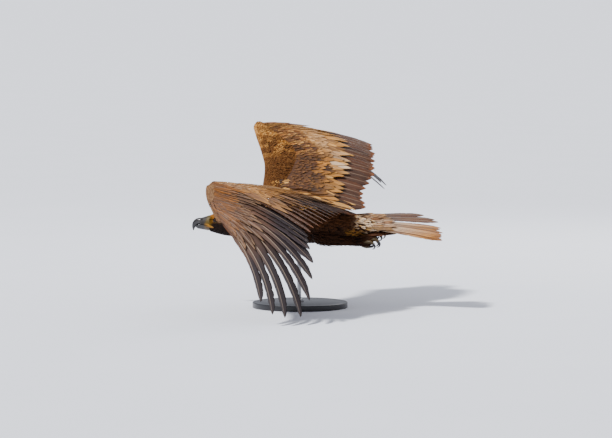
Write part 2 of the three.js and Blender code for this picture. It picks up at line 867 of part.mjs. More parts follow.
const thighSolid = (torso) => solidOf(legLength(THIGH, LEG_RINGS.thigh)).subtract(torso);
const tarsusSolid = (torso) => solidOf(legLength(TARSUS, LEG_RINGS.tarsus)).subtract(torso);
const toeSolids = (grow = 0) =>
  join([
    round(PALM, LEG_RINGS.palm, LEG_SIDES, grow),
    ...Object.values(TOES).map(({ toe }) => round(toe, LEG_RINGS.toe, TOE_SIDES, grow)),
  ]);

// A claw that grows out of its toe's end
function clawSolid({ toe, claw }, footRoom) {
  const [x, y, z, radius] = toe.at(-1);
  const stations = [[x, y, z, radius - GAP], ...claw];
  return solidOf(round(stations, LEG_RINGS.claw, TOE_SIDES)).subtract(footRoom);
}

// Stand
function baseGeometry() {
  const { radius, thickness, bevel, sides } = BASE;
  const profile = [
    [0, 0],
    [radius, 0],
    [radius, thickness - bevel],
    [radius - bevel, thickness],
    [0, thickness],
  ].map(([x, y]) => new THREE.Vector2(x, y));
  return weld(new THREE.LatheGeometry(profile, sides).rotateX(Math.PI / 2));
}

function rodGeometry(torso) {
  const { radius, collarRadius, collarHeight, place, sides } = ROD;
  const foot = BASE.thickness + GAP;
  const profile = [
    [0, foot],
    [collarRadius, foot],
    [collarRadius, foot + collarHeight],
    [radius, foot + collarHeight],
    [radius, FLIGHT_HEIGHT],
    [0, FLIGHT_HEIGHT],
  ].map(([x, y]) => new THREE.Vector2(x, y));
  const rod = weld(new THREE.LatheGeometry(profile, sides).rotateX(Math.PI / 2));
  rod.translate(place[0], place[1], 0);
  return bodyOf(solidOf(rod).subtract(solidOf(torso)));
}

// All nodes
const random = randomSource(SEED);
const torsoRoom = torsoGeometry(GAP);
const torsoCut = solidOf(torsoRoom);
add(bird, "torso", torsoGeometry(), MATERIALS.body);
add(bird, "neck", neckGeometry(), MATERIALS.body);
add(bird, "head", headGeometry(), MATERIALS.crown);
add(bird, "cere", cereGeometry(), MATERIALS.cere);
add(bird, "bill_upper", upperBillGeometry(), MATERIALS.bill);
add(bird, "bill_lower", lowerBillGeometry(), MATERIALS.bill);
add(bird, "tail", bodyOf(tailSolid(torsoCut, random)), MATERIALS.tail);

const tarsusRoom = solidOf(legLength(TARSUS, LEG_RINGS.tarsus, GAP));
const footRoom = toeSolids(GAP).add(tarsusRoom);
const legs = {
  thigh: [thighSolid(torsoCut), MATERIALS.body],
  tarsus: [tarsusSolid(torsoCut), MATERIALS.body],
  foot: [toeSolids().subtract(tarsusRoom), MATERIALS.toe],
};
for (const [name, toe] of Object.entries(TOES))
  legs[`claw_${name}`] = [clawSolid(toe, footRoom), MATERIALS.claw];

for (const [name, side] of [["left", 1], ["right", -1]]) {
  const sided = (solid) => (side > 0 ? bodyOf(solid) : mirrored(bodyOf(solid)));
  const eyeball = headPoint([EYE.x, side * EYE.y, EYE.z]);
  const ball = new THREE.IcosahedronGeometry(EYE.radius, EYE.detail);
  const eye = weld(ball.translate(eyeball.x, eyeball.y, eyeball.z));
  add(bird, `eye_${name}`, eye, MATERIALS.eye);
  add(bird, `wing_${name}_arm`, sided(armSolid(TIPS[name], torsoCut, random)), MATERIALS.wing);
  add(bird, `wing_${name}_hand`, sided(handSolid(TIPS[name], random)), MATERIALS.flight);
  for (const [piece, [solid, material]] of Object.entries(legs))
    add(bird, `leg_${name}_${piece}`, sided(solid), material);
}

const torsoInWorld = torsoRoom.clone().applyMatrix4(bird.matrixWorld);
add(eagle, "stand_base", baseGeometry(), MATERIALS.base);
add(eagle, "stand_rod", rodGeometry(torsoInWorld), MATERIALS.rod);

export default eagle;
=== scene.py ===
"""A life-size golden eagle in banking flight, held by a plain display stand.

Sizes are millimetres in the bird's own frame (x towards the bill, y out to the left, z up the
back) until they are placed in the shared frame, which is metres with +Z up.
"""

from __future__ import annotations

import logging
import math
from dataclasses import dataclass, field, replace
from enum import Enum
from functools import partial
from typing import Callable, Iterator, Sequence

import bpy
import numpy as np
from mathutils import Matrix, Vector
from mathutils.bvhtree import BVHTree


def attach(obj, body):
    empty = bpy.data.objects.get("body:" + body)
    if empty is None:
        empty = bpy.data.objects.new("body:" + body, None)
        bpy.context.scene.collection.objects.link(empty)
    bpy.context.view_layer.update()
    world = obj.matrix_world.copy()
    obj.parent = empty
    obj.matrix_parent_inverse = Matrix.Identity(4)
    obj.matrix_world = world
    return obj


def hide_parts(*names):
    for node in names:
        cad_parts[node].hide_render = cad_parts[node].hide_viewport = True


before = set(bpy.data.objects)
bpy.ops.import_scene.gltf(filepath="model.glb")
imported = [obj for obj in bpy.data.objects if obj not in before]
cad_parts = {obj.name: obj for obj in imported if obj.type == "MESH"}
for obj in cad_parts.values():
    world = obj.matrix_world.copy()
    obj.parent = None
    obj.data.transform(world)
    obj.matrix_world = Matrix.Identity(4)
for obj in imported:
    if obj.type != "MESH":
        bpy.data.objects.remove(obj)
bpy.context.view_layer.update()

LOG = logging.getLogger("eagle")
Array = np.ndarray
Random = np.random.Generator
Piece = bpy.types.Object
Material = bpy.types.Material
Socket = bpy.types.NodeSocket

MM = 0.001
TURN = 2 * math.pi
SIDES = (("left", 1), ("right", -1))

# Small steps along and round a form, by which its directions are measured
ALONG_STEP, ROUND_STEP = 0.004, 0.02
# Rows of small feathers follow after this share of their length, seats after this share of their width
ROW_STEP, SEAT_STEP = 0.26, 0.5
# Each small feather's patch on the bake map
BAKE_DOT = (0.003, 0.003)
# Width of a feather's half in its vane map, and the barbs' wave there in radians
HALF_VANE, BARB_WAVE = 0.48, 6.2832
# Half width of the pale shaft, as a share of the vane
SHAFT_HALF = 0.05
# Size of the broad and the fine blotches of the plumage, in mm
BROAD, FINE = 60, 38
# Depth of the relief of every finish, in metres, and how dull its clear coat is
RELIEF, COAT_ROUGHNESS = 0.0006, 0.05


# Numbers, curves and colours


def smooth(values: Sequence, t: Array) -> Array:
    """Read a smooth curve through equally spaced rows.

    Args:
        values: The rows that the curve passes through.
        t: Places along the curve, from 0 to 1.

    Returns:
        One interpolated row for each place.
    """
    rows = np.asarray(values, float)
    flat = rows.ndim == 1
    rows = rows[:, None] if flat else rows
    t = np.clip(np.asarray(t, float), 0, 1)
    last = len(rows) - 1
    k = np.minimum((t * last).astype(int), last - 1)
    f = (t * last - k)[..., None]
    b, c = rows[k], rows[k + 1]
    a = np.where((k > 0)[..., None], rows[np.maximum(k - 1, 0)], 2 * b - c)
    d = np.where((k + 2 <= last)[..., None], rows[np.minimum(k + 2, last)], 2 * c - b)
    rise, fall = (c - a) / 2, (d - b) / 2
    out = b + rise * f + (3 * (c - b) - 2 * rise - fall) * f**2 + (2 * (b - c) + rise + fall) * f**3
    return out[..., 0] if flat else out


def read_at(table: Sequence, place: Array) -> Array:
    """Read a table's other columns at places along its first column.

    Args:
        table: Rows whose first number rises or falls steadily.
        place: Places along that first number.

    Returns:
        One smooth row of the other numbers for each place.
    """
    rows = np.asarray(table, float)
    first = rows[:, 0]
    order = np.argsort(first)
    t = np.interp(place, first[order], (np.arange(len(first)) / (len(first) - 1))[order])
    return smooth(rows[:, 1:], t)


def unit(v: Array) -> Array:
    """Scale vectors to length one."""
    return v / np.maximum(np.linalg.norm(v, axis=-1, keepdims=True), 1e-9)


def mix(a: Array, b: Array, t: Array) -> Array:
    """Blend two values."""
    return a + (b - a) * t


def step(low: float, high: float, x: Array) -> Array:
    """Rise smoothly from 0 at low to 1 at high."""
    t = np.clip((np.asarray(x, float) - low) / (high - low), 0, 1)
    return t * t * (3 - 2 * t)


def turns(count: int) -> Array:
    """Give equal angles round a full turn, the first one 0."""
    return np.arange(count) * TURN / count


def mirror(points: Array, side: int) -> Array:
    """Take points on the left to the given side."""
    return points * np.array([1, side, 1])


def paint(red: int, green: int, blue: int, depth: float = 1.2, gain: float = 0.62) -> Array:
    """Turn a display colour of 0 to 255 into a linear colour, deepened as studio light pales it.

    Args:
        red: Share of red.
        green: Share of green.
        blue: Share of blue.
        depth: How far its saturation is raised.
        gain: How far it is darkened.

    Returns:
        The linear colour.
    """
    c = np.array([red, green, blue]) / 255
    c = np.where(c <= 0.04045, c / 12.92, ((c + 0.055) / 1.055) ** 2.4)
    grey = c @ np.array([0.21, 0.72, 0.07])
    return np.maximum(grey + (c - grey) * depth, 0.0008) * gain


def blend(first: Array, second: Array, share: Array) -> Array:
    """Blend two colours by a share that may be an array."""
    return first + (second - first) * np.asarray(share)[..., None]


def layer(ground: Array, *layers: tuple[Array, Array]) -> Array:
    """Lay colours over a ground, one after another.

    Args:
        ground: The colour under them.
        layers: Each colour with its share.

    Returns:
        The blended colour.
    """
    for colour, share in layers:
        ground = blend(ground, colour, share)
    return ground




@dataclass(frozen=True)
class Pose:
    """How the bird hangs in the air over the stand.

    Attributes:
        bank: Roll to the left, in degrees.
        pitch: Nose-up angle, in degrees.
        height: Height of the trunk's middle over the table, in mm.
        skull: Middle of the level head in the bird's frame.
    """

    bank: float = 16.5
    pitch: float = 3.6
    height: float = 292.0
    skull: tuple[float, float, float] = (255.5, 0.0, -50.0)

    @staticmethod
    def roll(degrees: float) -> Array:
        """Give the matrix of a roll about the bird's length."""
        b = math.radians(degrees)
        return np.array([[1, 0, 0], [0, math.cos(b), -math.sin(b)], [0, math.sin(b), math.cos(b)]])

    def place(self, points: Array) -> Array:
        """Take points to the shared frame.

        Args:
            points: Points in the bird's frame, in mm.

        Returns:
            The points in the shared frame, in metres.
        """
        p = math.radians(-self.pitch)
        tilt = np.array([[math.cos(p), 0, math.sin(p)], [0, 1, 0], [-math.sin(p), 0, math.cos(p)]])
        turn = np.diag([-1.0, -1.0, 1.0])
        out = np.asarray(points, float) @ (turn @ tilt @ self.roll(-self.bank)).T
        return (out + np.array([0, 0, self.height])) * MM

    def axes(self) -> Array:
        """Give the bird's three axes, each 1 mm long, in the shared frame."""
        return self.place(np.eye(3)) - self.place(np.zeros((1, 3)))

    def to_bird(self, points: Array) -> Array:
        """Take points from the shared frame back to the bird's frame."""
        return (points - self.place(np.zeros((1, 3)))) @ np.linalg.inv(self.axes())

    def level(self, points: Array) -> Array:
        """Take points from the level head's frame to the bird's frame, in an array of any shape."""
        flat = np.asarray(points, float).reshape(-1, 3)
        return (flat @ self.roll(self.bank).T + np.array(self.skull)).reshape(np.shape(points))

    def unlevel(self, points: Array) -> Array:
        """Take points from the bird's frame to the level head's frame."""
        return (np.asarray(points, float) - np.array(self.skull)) @ self.roll(self.bank)


POSE = Pose()


# Blender objects


def put(name: str, data: bpy.types.ID) -> Piece:
    """Make an object of some data and link it to the scene.

    Args:
        name: The object's name.
        data: Its mesh, light or camera.

    Returns:
        The object.
    """
    item = bpy.data.objects.new(name, data)
    bpy.context.scene.collection.objects.link(item)
    return item


def read_points(mesh: bpy.types.Mesh) -> Array:
    """Read a mesh's points.

    Args:
        mesh: A mesh in the shared frame.

    Returns:
        Its points.
    """
    points = np.empty(len(mesh.vertices) * 3, np.float32)
    mesh.vertices.foreach_get("co", points)
    return points.reshape(-1, 3)


def tint_points(mesh: bpy.types.Mesh, colours: Array) -> None:
    """Write the Plume attribute that every finish reads.

    Args:
        mesh: The mesh.
        colours: A linear colour for all, or one for each point.
    """
    tint = mesh.attributes.new("Plume", "FLOAT_COLOR", "POINT")
    rgba = np.ones((len(mesh.vertices), 4), np.float32)
    rgba[:, :3] = colours
    tint.data.foreach_set("color", rgba.ravel())


def evaluated(item: Piece, name: str) -> bpy.types.Mesh:
    """Give the mesh that an object's modifiers make, and drop the object.

    Args:
        item: The object with its modifiers.
        name: The new mesh's name.

    Returns:
        The mesh.
    """
    graph = bpy.context.evaluated_depsgraph_get()
    mesh = bpy.data.meshes.new_from_object(item.evaluated_get(graph))
    bpy.data.objects.remove(item)
    mesh.name = name
    return mesh


# Meshes


@dataclass
class Surface:
    """Points and faces gathered for one piece, with a colour and two maps for each point.

    Attributes:
        name: The piece's name.
        points: Blocks of points in the bird's frame.
        faces: Blocks of four-cornered faces; a repeated last corner makes a triangle.
        colours: Blocks of linear colours.
        vane: Blocks of places across and along a feather, scale or plate.
        bake: Blocks of places on the piece's bake map.
        count: Points gathered so far.
    """

    name: str
    points: list[Array] = field(default_factory=list)
    faces: list[Array] = field(default_factory=list)
    colours: list[Array] = field(default_factory=list)
    vane: list[Array] = field(default_factory=list)
    bake: list[Array] = field(default_factory=list)
    count: int = 0

    def add(self, points: Array, faces: Array, colour: Array, vane: Array | None = None,
            bake: Array | None = None) -> None:
        """Add a block of points and faces.

        Args:
            points: The block's points.
            faces: Corner numbers, counted from the block's first point.
            colour: One colour for all, or one for each point.
            vane: Places across and along each small form.
            bake: Places on the bake map.
        """
        n = len(points)
        self.points.append(points)
        self.faces.append(faces + self.count)
        self.colours.append(np.broadcast_to(colour, (n, 3)))
        self.vane.append(np.zeros((n, 2)) if vane is None else vane)
        self.bake.append(np.zeros((n, 2)) if bake is None else bake)
        self.count += n

    def triangles(self) -> int:
        """Count the triangles."""
        return sum(int(2 * len(f) - (f[:, 2] == f[:, 3]).sum()) for f in self.faces)

    def build(self, material: Material, placed: bool = False, maps: bool = True) -> Piece:
        """Make the Blender object.

        Args:
            material: Its finish.
            placed: True where the points are in the shared frame already.
            maps: False for a piece that carries no bake map.

        Returns:
            The new object, at the origin.
        """
        points = np.concatenate(self.points)
        points = points if placed else POSE.place(points)
        faces = np.concatenate(self.faces)
        three = faces[:, 2] == faces[:, 3]
        sizes = np.where(three, 3, 4)
        keep = np.ones(faces.shape, bool)
        keep[three, 3] = False
        corners = faces[keep]
        mesh = bpy.data.meshes.new(self.name)
        mesh.vertices.add(len(points))
        mesh.vertices.foreach_set("co", points.astype(np.float32).ravel())
        mesh.loops.add(len(corners))
        mesh.loops.foreach_set("vertex_index", corners.astype(np.int32))
        mesh.polygons.add(len(faces))
        mesh.polygons.foreach_set("loop_start", np.concatenate([[0], np.cumsum(sizes)[:-1]]).astype(np.int32))
        mesh.polygons.foreach_set("use_smooth", np.ones(len(faces), bool))
        mesh.update(calc_edges=True)
        layers = {"Vane": np.concatenate(self.vane)}
        if maps:
            layers["OFBake"] = np.concatenate(self.bake)
        for name, values in layers.items():
            mesh.uv_layers.new(name=name).data.foreach_set("uv", values[corners].astype(np.float32).ravel())
        tint_points(mesh, np.concatenate(self.colours))
        mesh.materials.append(material)
        mesh.validate()
        return put(self.name, mesh)


def grid_faces(rows: int, columns: int, wrap: bool) -> Array:
    """Give the corner numbers of a grid of points.

    Args:
        rows: Rows of points.
        columns: Points in a row.
        wrap: True where each row closes round to its first point.

    Returns:
        Four corner numbers for each face.
    """
    r, c = np.meshgrid(np.arange(rows - 1), np.arange(columns if wrap else columns - 1), indexing="ij")
    nxt = (c + 1) % columns
    return np.stack([r * columns + c, r * columns + nxt, (r + 1) * columns + nxt, (r + 1) * columns + c],
                    axis=-1).reshape(-1, 4)


def tube(rings: Array) -> tuple[Array, Array]:
    """Close a skin through rings of points, capped at both ends, with its faces turned outwards.

    Args:
        rings: Points as rings x sides x 3.

    Returns:
        Points and faces.
    """
    rows, sides = rings.shape[:2]
    points = np.concatenate([rings.reshape(-1, 3), rings[0].mean(0)[None], rings[-1].mean(0)[None]])
    faces = grid_faces(rows, sides, True)
    k = np.arange(sides)
    n = (k + 1) % sides
    start, end = rows * sides, rows * sides + 1
    top = (rows - 1) * sides
    low = np.stack([n, k, np.full(sides, start), np.full(sides, start)], -1)
    high = np.stack([top + k, top + n, np.full(sides, end), np.full(sides, end)], -1)
    faces = np.concatenate([faces, low, high])
    a, b, c = (points[faces[:, i]] for i in range(3))
    d = points[faces[:, 3]]
    volume = (a * np.cross(b, c)).sum() + (a * np.cross(c, d)).sum()
    if volume < 0:
        faces = faces[:, ::-1]
        three = faces[:, 0] == faces[:, 1]
        faces[three] = np.roll(faces[three], -2, axis=1)
    return points, faces


def capped(values: Array, sides: int = 1, first: float = 0.0, last: float = 1.0) -> Array:
    """Give a value to every point of a closed tube.

    Args:
        values: A value for each ring, or for each point of the rings.
        sides: Points in a ring, where each ring has one value.
        first: Value of the first cap's middle.
        last: Value of the last cap's middle.

    Returns:
        One value for each point.
    """
    return np.concatenate([np.repeat(values.ravel(), sides), [first, last]])


# The forms that feathers and skin lie on


@dataclass
class Form:
    """A closed form read by a place along it and an angle round it."""

    def point(self, s: Array, a: Array) -> Array:
        """Give the coat's outer surface at places s (0 to 1) and angles a."""
        raise NotImplementedError

    def pace(self, s: Array, a: Array, ds: float = 0.0, da: float = 0.0) -> Array:
        """Give how many mm the surface runs for each unit of s, or for each radian of a.

        Args:
            s: Places along the form.
            a: Angles round it.
            ds: Step along the form to either side, or 0.
            da: Step round it to either side, or 0.

        Returns:
            Lengths in mm.
        """
        run = np.linalg.norm(self.point(s + ds, a + da) - self.point(s - ds, a - da), axis=-1)
        return run / (2 * (ds or da))

    def frame(self, s: Array, a: Array, depth: Array | float = 0) -> tuple[Array, Array, Array, Array]:
        """Give points set in by a depth, with the surface's own directions.

        Args:
            s: Places along the form.
            a: Angles round it.
            depth: How far under the coat's outer surface.

        Returns:
            Points, unit normals, and unit directions along s and round a.
        """
        low, high = np.clip(s - ALONG_STEP, 0, 1), np.clip(s + ALONG_STEP, 0, 1)
        along = unit(self.point(high, a) - self.point(low, a))
        round_ = unit(self.point(s, a + ROUND_STEP) - self.point(s, a - ROUND_STEP))
        normal = unit(np.cross(round_, along))
        here = self.point(s, a)
        middle = self.middle(s)
        normal = normal * np.sign(((here - middle) * normal).sum(-1, keepdims=True) + 1e-9)
        return here - normal * np.asarray(depth)[..., None], normal, along, round_

    def middle(self, s: Array) -> Array:
        """Give the form's middle line."""
        return sum(self.point(s, np.full_like(s, k * math.pi / 4)) for k in range(8)) / 8

    def rings(self, rows: int, sides: int, depth: float) -> Array:
        """Give rings of points under the coat, for the skin.

        Args:
            rows: Rings.
            sides: Points in a ring.
            depth: The coat's depth.

        Returns:
            Points as rings x sides x 3.
        """
        s, a = np.meshgrid(np.linspace(0, 1, rows), turns(sides), indexing="ij")
        return self.frame(s.ravel(), a.ravel(), depth)[0].reshape(rows, sides, 3)


@dataclass
class BodyForm(Form):
    """Trunk, neck and head as one form, from the root of the tail to the front of the face.

    Attributes:
        trunk: Place along the body, top, bottom and half width.
        head: The same for the head in its level frame.
        neck_start: Where the neck begins.
        eye: Middle of the left eye in the head's frame.
        brow: The left brow's line in the head's frame.
    """

    trunk: tuple = (
        (215.5, -23, -87, 33), (190, -3, -88, 43), (160, 24, -89, 54), (120, 48, -90, 65), (70, 60, -91, 71),
        (0, 60, -88, 70), (-60, 50, -83, 62), (-120, 33, -73, 50), (-165, 19, -61, 40), (-200, 8, -50, 32),
        (-250, -6, -34, 24),
    )
    head: tuple = ((-40, 27, -37, 33), (-15, 31, -36.5, 34.5), (10, 31, -33, 32.5), (30, 27.5, -29, 27),
                   (46, 22.5, -26, 19.5))
    neck_start: float = 150.0
    eye: tuple[float, float, float] = (15.8, 20.4, 9.0)
    brow: tuple = ((40, 19, 13.5), (30, 24, 16.5), (20, 27, 18.5), (9, 29.5, 18.5), (0, 31, 16))

    @property
    def low(self) -> float:
        """Where the form begins, at the root of the tail."""
        return self.trunk[-1][0]

    @property
    def high(self) -> float:
        """Where the form ends, at the front of the face."""
        return POSE.skull[0] + self.head[-1][0]

    def reach(self, s: Array) -> Array:
        """Give the place along the body, in mm, for a place from 0 to 1."""
        return mix(self.low, self.high, s)

    def place_of(self, x: float) -> float:
        """Give the place from 0 to 1 for a place along the body in mm."""
        return (x - self.low) / (self.high - self.low)

    def ring(self, table: tuple, x: Array, a: Array) -> Array:
        """Give points of the oval that a table states.

        Args:
            table: Place, top, bottom and half width along the form.
            x: Places along it, in mm.
            a: Angles round it.

        Returns:
            Points in the table's frame.
        """
        rows = read_at(table, x)
        top, bottom, half = rows[..., 0], rows[..., 1], rows[..., 2]
        return np.stack([x, half * np.cos(a), (top + bottom) / 2 + (top - bottom) / 2 * np.sin(a)], -1)

    def face(self, x: Array, a: Array) -> Array:
        """Give points of the head with its brows raised and its eye sockets sunk.

        Args:
            x: Places along the level head, in mm.
            a: Angles round it.

        Returns:
            Points in the level head's frame.
        """
        p = self.ring(self.head, x, a)
        for side in (1, -1):
            line = mirror(smooth(self.brow, np.linspace(0, 1, 9)), side)
            gap = np.linalg.norm(p[..., None, :] - line, axis=-1).min(-1)
            p = p + np.exp(-(gap / 3.6) ** 2)[..., None] * np.array([0, 6.4 * side, -0.4])
            hollow = (p - np.array([22, 24.5 * side, 8])) * np.array([0.62, 0.5, 1])
            far = np.linalg.norm(hollow, axis=-1)
            p = p - np.exp(-(far / 8.5) ** 4)[..., None] * np.array([0, 4.4 * side, 0])
        return p

    def point(self, s: Array, a: Array) -> Array:
        """Give points of the whole form, where the neck turns from the trunk's bank to the level head.

        Args:
            s: Places along the form, from 0 to 1.
            a: Angles round it.

        Returns:
            Points in the bird's frame.
        """
        x = self.reach(np.asarray(s, float))
        join = self.trunk[0][0]
        trunk = self.ring(self.trunk, np.clip(x, self.low, join), a)
        head_x = np.clip(x - POSE.skull[0], self.head[0][0], self.head[-1][0])
        skull = POSE.level(self.face(head_x, a))
        t = np.clip((x - self.neck_start) / (join - self.neck_start), 0, 1) ** 2
        neck = np.stack([x, *np.moveaxis(mix(trunk, skull, t[..., None])[..., 1:], -1, 0)], -1)
        return np.where((x > join)[..., None], skull, neck)


@dataclass
class LimbForm(Form):
    """An arm or hand of the wing, between its front and rear edges.

    Attributes:
        front: Points along the leading edge.
        rear: Points along the rear edge.
        depth: Thickness along the limb.
        camber: Arch of the chord along the limb.
        side: 1 on the left, -1 on the right.
        fullness: How much fuller the front is than the rear.
    """

    front: tuple
    rear: tuple
    depth: tuple
    camber: tuple
    side: int = 1
    fullness: float = 0.35

    def point(self, s: Array, a: Array) -> Array:
        """Give points of the limb.

        Args:
            s: Places along it, from 0 to 1.
            a: Angles round it, where 0 is the front edge and half a turn the rear.

        Returns:
            Points in the bird's frame.
        """
        s = np.asarray(s, float)
        lead, trail = smooth(self.front, s), smooth(self.rear, s)
        later, earlier = np.minimum(s + 0.02, 1), np.maximum(s - 0.02, 0)
        span = smooth(self.rear, later) + smooth(self.front, later)
        span = span - smooth(self.rear, earlier) - smooth(self.front, earlier)
        chord = trail - lead
        up = unit(np.cross(span, chord))
        place = (1 - np.cos(a)) / 2
        lift = smooth(self.depth, s) / 2 * np.sin(a) * (1 + self.fullness * np.cos(a))
        bow = smooth(self.camber, s) * np.sin(math.pi * place)
        return mirror(lead + chord * place[..., None] + up * (lift + bow)[..., None], self.side)


@dataclass
class LegForm(Form):
    """A length of leg with upright rings.

    Attributes:
        stations: Place, sideways place, height and radius along the leg.
        side: 1 on the left, -1 on the right.
    """

    stations: tuple
    side: int = 1

    def point(self, s: Array, a: Array) -> Array:
        """Give points of the leg at places s (0 to 1) and angles a."""
        x, y, z, radius = np.moveaxis(smooth(self.stations, s), -1, 0)
        return mirror(np.stack([x, y + radius * np.cos(a), z + radius * np.sin(a)], -1), self.side)


ARM = dict(
    front=((137, 30, 42), (139, 75, 60), (151, 150, 94), (174, 203, 122), (205, 256, 156), (222, 287, 176)),
    rear=((30, 30, 42), (28, 75, 64), (16, 140, 107), (22, 192, 141), (108, 246, 171), (186, 295, 188)),
    depth=(34, 32, 29, 27, 25, 22),
    camber=(2, 4, 7, 9, 10, 8),
)
HAND = dict(
    front=((222, 287, 176), (216, 304, 152), (198, 330, 127), (168, 372, 99)),
    rear=((186, 295, 188), (180, 322, 165), (160, 352, 137), (140, 384, 104)),
    depth=(22, 19, 15, 9),
    camber=(8, 6, 4, 1),
)
THIGH = ((-36, 30, -34, 25), (-66, 38, -46, 27), (-100, 41, -52, 24), (-140, 38, -58, 14))
TARSUS = ((-140.3, 38, -58, 13.5), (-170, 36, -60, 11.5), (-204, 34, -61, 10))
SLEEVE = ((-186, 35, -61, 12), (-206, 36, -60, 12.5), (-224, 38, -57, 14), (-244, 39, -52, 10))


def blotches(points: Array, size: float) -> Array:
    """Give a smooth irregular pattern over places.

    Args:
        points: Places in mm.
        size: About how far apart its dark patches lie, in mm.

    Returns:
        Values from 0 to 1.
    """
    waves = ((0.83, 0.31, 0.46), (-0.37, 0.88, 0.3), (0.22, -0.51, 0.83), (0.7, -0.6, -0.4), (0.1, 0.7, -0.7))
    total = sum(np.sin(points @ np.array(wave) * (TURN / size) * (1 + 0.27 * k) + 1.7 * k * k)
                for k, wave in enumerate(waves))
    return np.clip(0.5 + 0.27 * total, 0, 1)


# Feathers


class Outline(Enum):
    """Outlines of a feather: places along the shaft and shares of the full width there."""

    BROAD = ((0, 0.16), (0.08, 0.3), (0.25, 0.86), (0.6, 1.0), (0.85, 0.9), (1, 0.5))
    FINGER = ((0, 0.16), (0.08, 0.34), (0.3, 1.0), (0.42, 0.86), (0.52, 0.68), (0.86, 0.6), (1, 0.42))
    TAIL = ((0, 0.16), (0.1, 0.4), (0.3, 0.75), (0.72, 1.0), (0.9, 0.9), (1, 0.55))
    COVERT = ((0, 0.3), (0.3, 0.85), (0.62, 1.0), (0.82, 0.85), (1, 0.4))
    CONTOUR = ((0, 0.35), (0.35, 0.95), (0.65, 1.0), (0.85, 0.8), (1, 0.5))
    HACKLE = ((0, 0.45), (0.3, 1.0), (0.6, 0.8), (0.85, 0.45), (1, 0.25))

    def width(self, u: Array, blunt: float) -> Array:
        """Give the share of the full width at places u, rounded off at the tip.

        Args:
            u: Places along the shaft.
            blunt: Where the tip begins to round off.

        Returns:
            Shares of the full width.
        """
        places, shares = zip(*self.value)
        t = np.clip((u - blunt) / (1 - blunt), 0, 1)
        return np.interp(u, places, shares) * np.sqrt(np.maximum(1 - t**2, 0.0004))


@dataclass
class Feathers:
    """A batch of feathers that share an outline and a mesh.

    Attributes:
        spine: Points along each shaft, as feathers x rows x 3.
        across: Unit directions to each feather's fore edge, as feathers x 3.
        facing: Unit directions that its outer face looks in, as feathers x 3.
        width: Full width of each, in mm.
        fore: Share of the width before the shaft.
        outline: The outline they share.
        rows: Places of the rows along the shaft.
        columns: Places of the columns across, from -1 to 1.
        blunt: Where the tips begin to round off.
        camber: How far the edges drop, as a share of the half width.
        depth: Thickness at the shaft, in mm, for all or for each.
        shaft: Height of the shaft over the vane, in mm.
        ragged: How ragged the edges are, as a share of the width.
    """

    spine: Array
    across: Array
    facing: Array
    width: Array
    fore: Array
    outline: Outline
    rows: Array
    columns: Array
    blunt: float = 0.86
    camber: float = 0.12
    depth: Array | float = 0.8
    shaft: float = 0.0
    ragged: float = 0.0

    def build(self, surface: Surface, colour: Callable[[Array, Array, Array], Array], bake: Array,
              patch: tuple[float, float], rng: Random) -> None:
        """Add the feathers to a surface.

        Args:
            surface: What they are added to.
            colour: Gives colours from places across (-1 to 1), along (0 to 1) and feather numbers.
            bake: Each feather's place on the bake map.
            patch: Size of its patch there.
            rng: Source of the raggedness.
        """
        n, rows, columns = len(self.spine), len(self.rows), len(self.columns)
        side = self.across if self.across.ndim == 3 else self.across[:, None, :]
        outer = self.facing if self.facing.ndim == 3 else self.facing[:, None, :]
        share = self.outline.width(self.rows, self.blunt)
        fore = np.asarray(self.fore)[:, None, None]
        reach = np.where(self.columns > 0, fore, 1 - fore) * self.columns
        reach = reach * np.asarray(self.width)[:, None, None] * share[None, :, None]
        edge = np.abs(self.columns) > 0.6
        fray = rng.random((n, rows, 1)) ** 4 * (0.3 + 0.7 * self.rows[None, :, None])
        notch = (fray + 0.25 * rng.random((n, rows, columns)) ** 3) * self.ragged * edge
        reach = reach * (1 - notch)
        drop = self.camber * np.abs(reach) * np.abs(self.columns)
        body = (1 - self.columns**2)[None, None, :] * np.minimum(1, 1.3 - self.rows)[None, :, None]
        body = body * np.minimum(1, (1 - self.rows) * 14)[None, :, None]
        half = np.reshape(self.depth, (-1, 1, 1)) / 2 * body
        middle = (np.abs(self.columns) < 0.01)[None, None, :]
        ridge = self.shaft * middle * (1 - 0.8 * self.rows)[None, :, None]
        base = self.spine[:, :, None, :] + side[:, :, None, :] * reach[..., None]
        up = outer[:, :, None, :]
        top = base + up * (half + ridge - drop)[..., None]
        under = base + up * (-half - ridge * 0.5 - drop)[..., None]
        inner = under[:, 1:-1, 1:-1]
        points = np.concatenate([top.reshape(n, -1, 3), inner.reshape(n, -1, 3)], axis=1)
        faces = self.shell(rows, columns)
        each = points.shape[1]
        offset = (np.arange(n) * each)[:, None, None]
        u, v = np.meshgrid(self.rows, self.columns, indexing="ij")
        spots = np.stack([v, u], -1)
        place = np.concatenate([spots.reshape(-1, 2), spots[1:-1, 1:-1].reshape(-1, 2)])
        number = np.repeat(np.arange(n), each)
        across, along = np.tile(place[:, 0], n), np.tile(place[:, 1], n)
        tint = colour(across, along, number)
        vane = np.stack([across * HALF_VANE + 0.5 + number, along], -1)
        spot = np.stack([across * patch[0] / 2, (along - 0.5) * patch[1]], -1) + bake[number]
        surface.add(points.reshape(-1, 3), (faces[None] + offset).reshape(-1, 4), tint, vane, spot)

    @staticmethod
    def shell(rows: int, columns: int) -> Array:
        """Give the faces of a thin closed plate whose two sides meet round its rim.

        Args:
            rows: Rows of points.
            columns: Points in a row.

        Returns:
            Four corner numbers for each face, the outer side first.
        """
        top = grid_faces(rows, columns, False)
        under = np.arange(rows * columns).reshape(rows, columns)
        inner = np.arange((rows - 2) * (columns - 2)).reshape(rows - 2, columns - 2)
        under[1:-1, 1:-1] = rows * columns + inner
        r, c = np.meshgrid(np.arange(rows - 1), np.arange(columns - 1), indexing="ij")
        below = np.stack([under[r, c], under[r + 1, c], under[r + 1, c + 1], under[r, c + 1]], -1)
        return np.concatenate([top, below.reshape(-1, 4)])


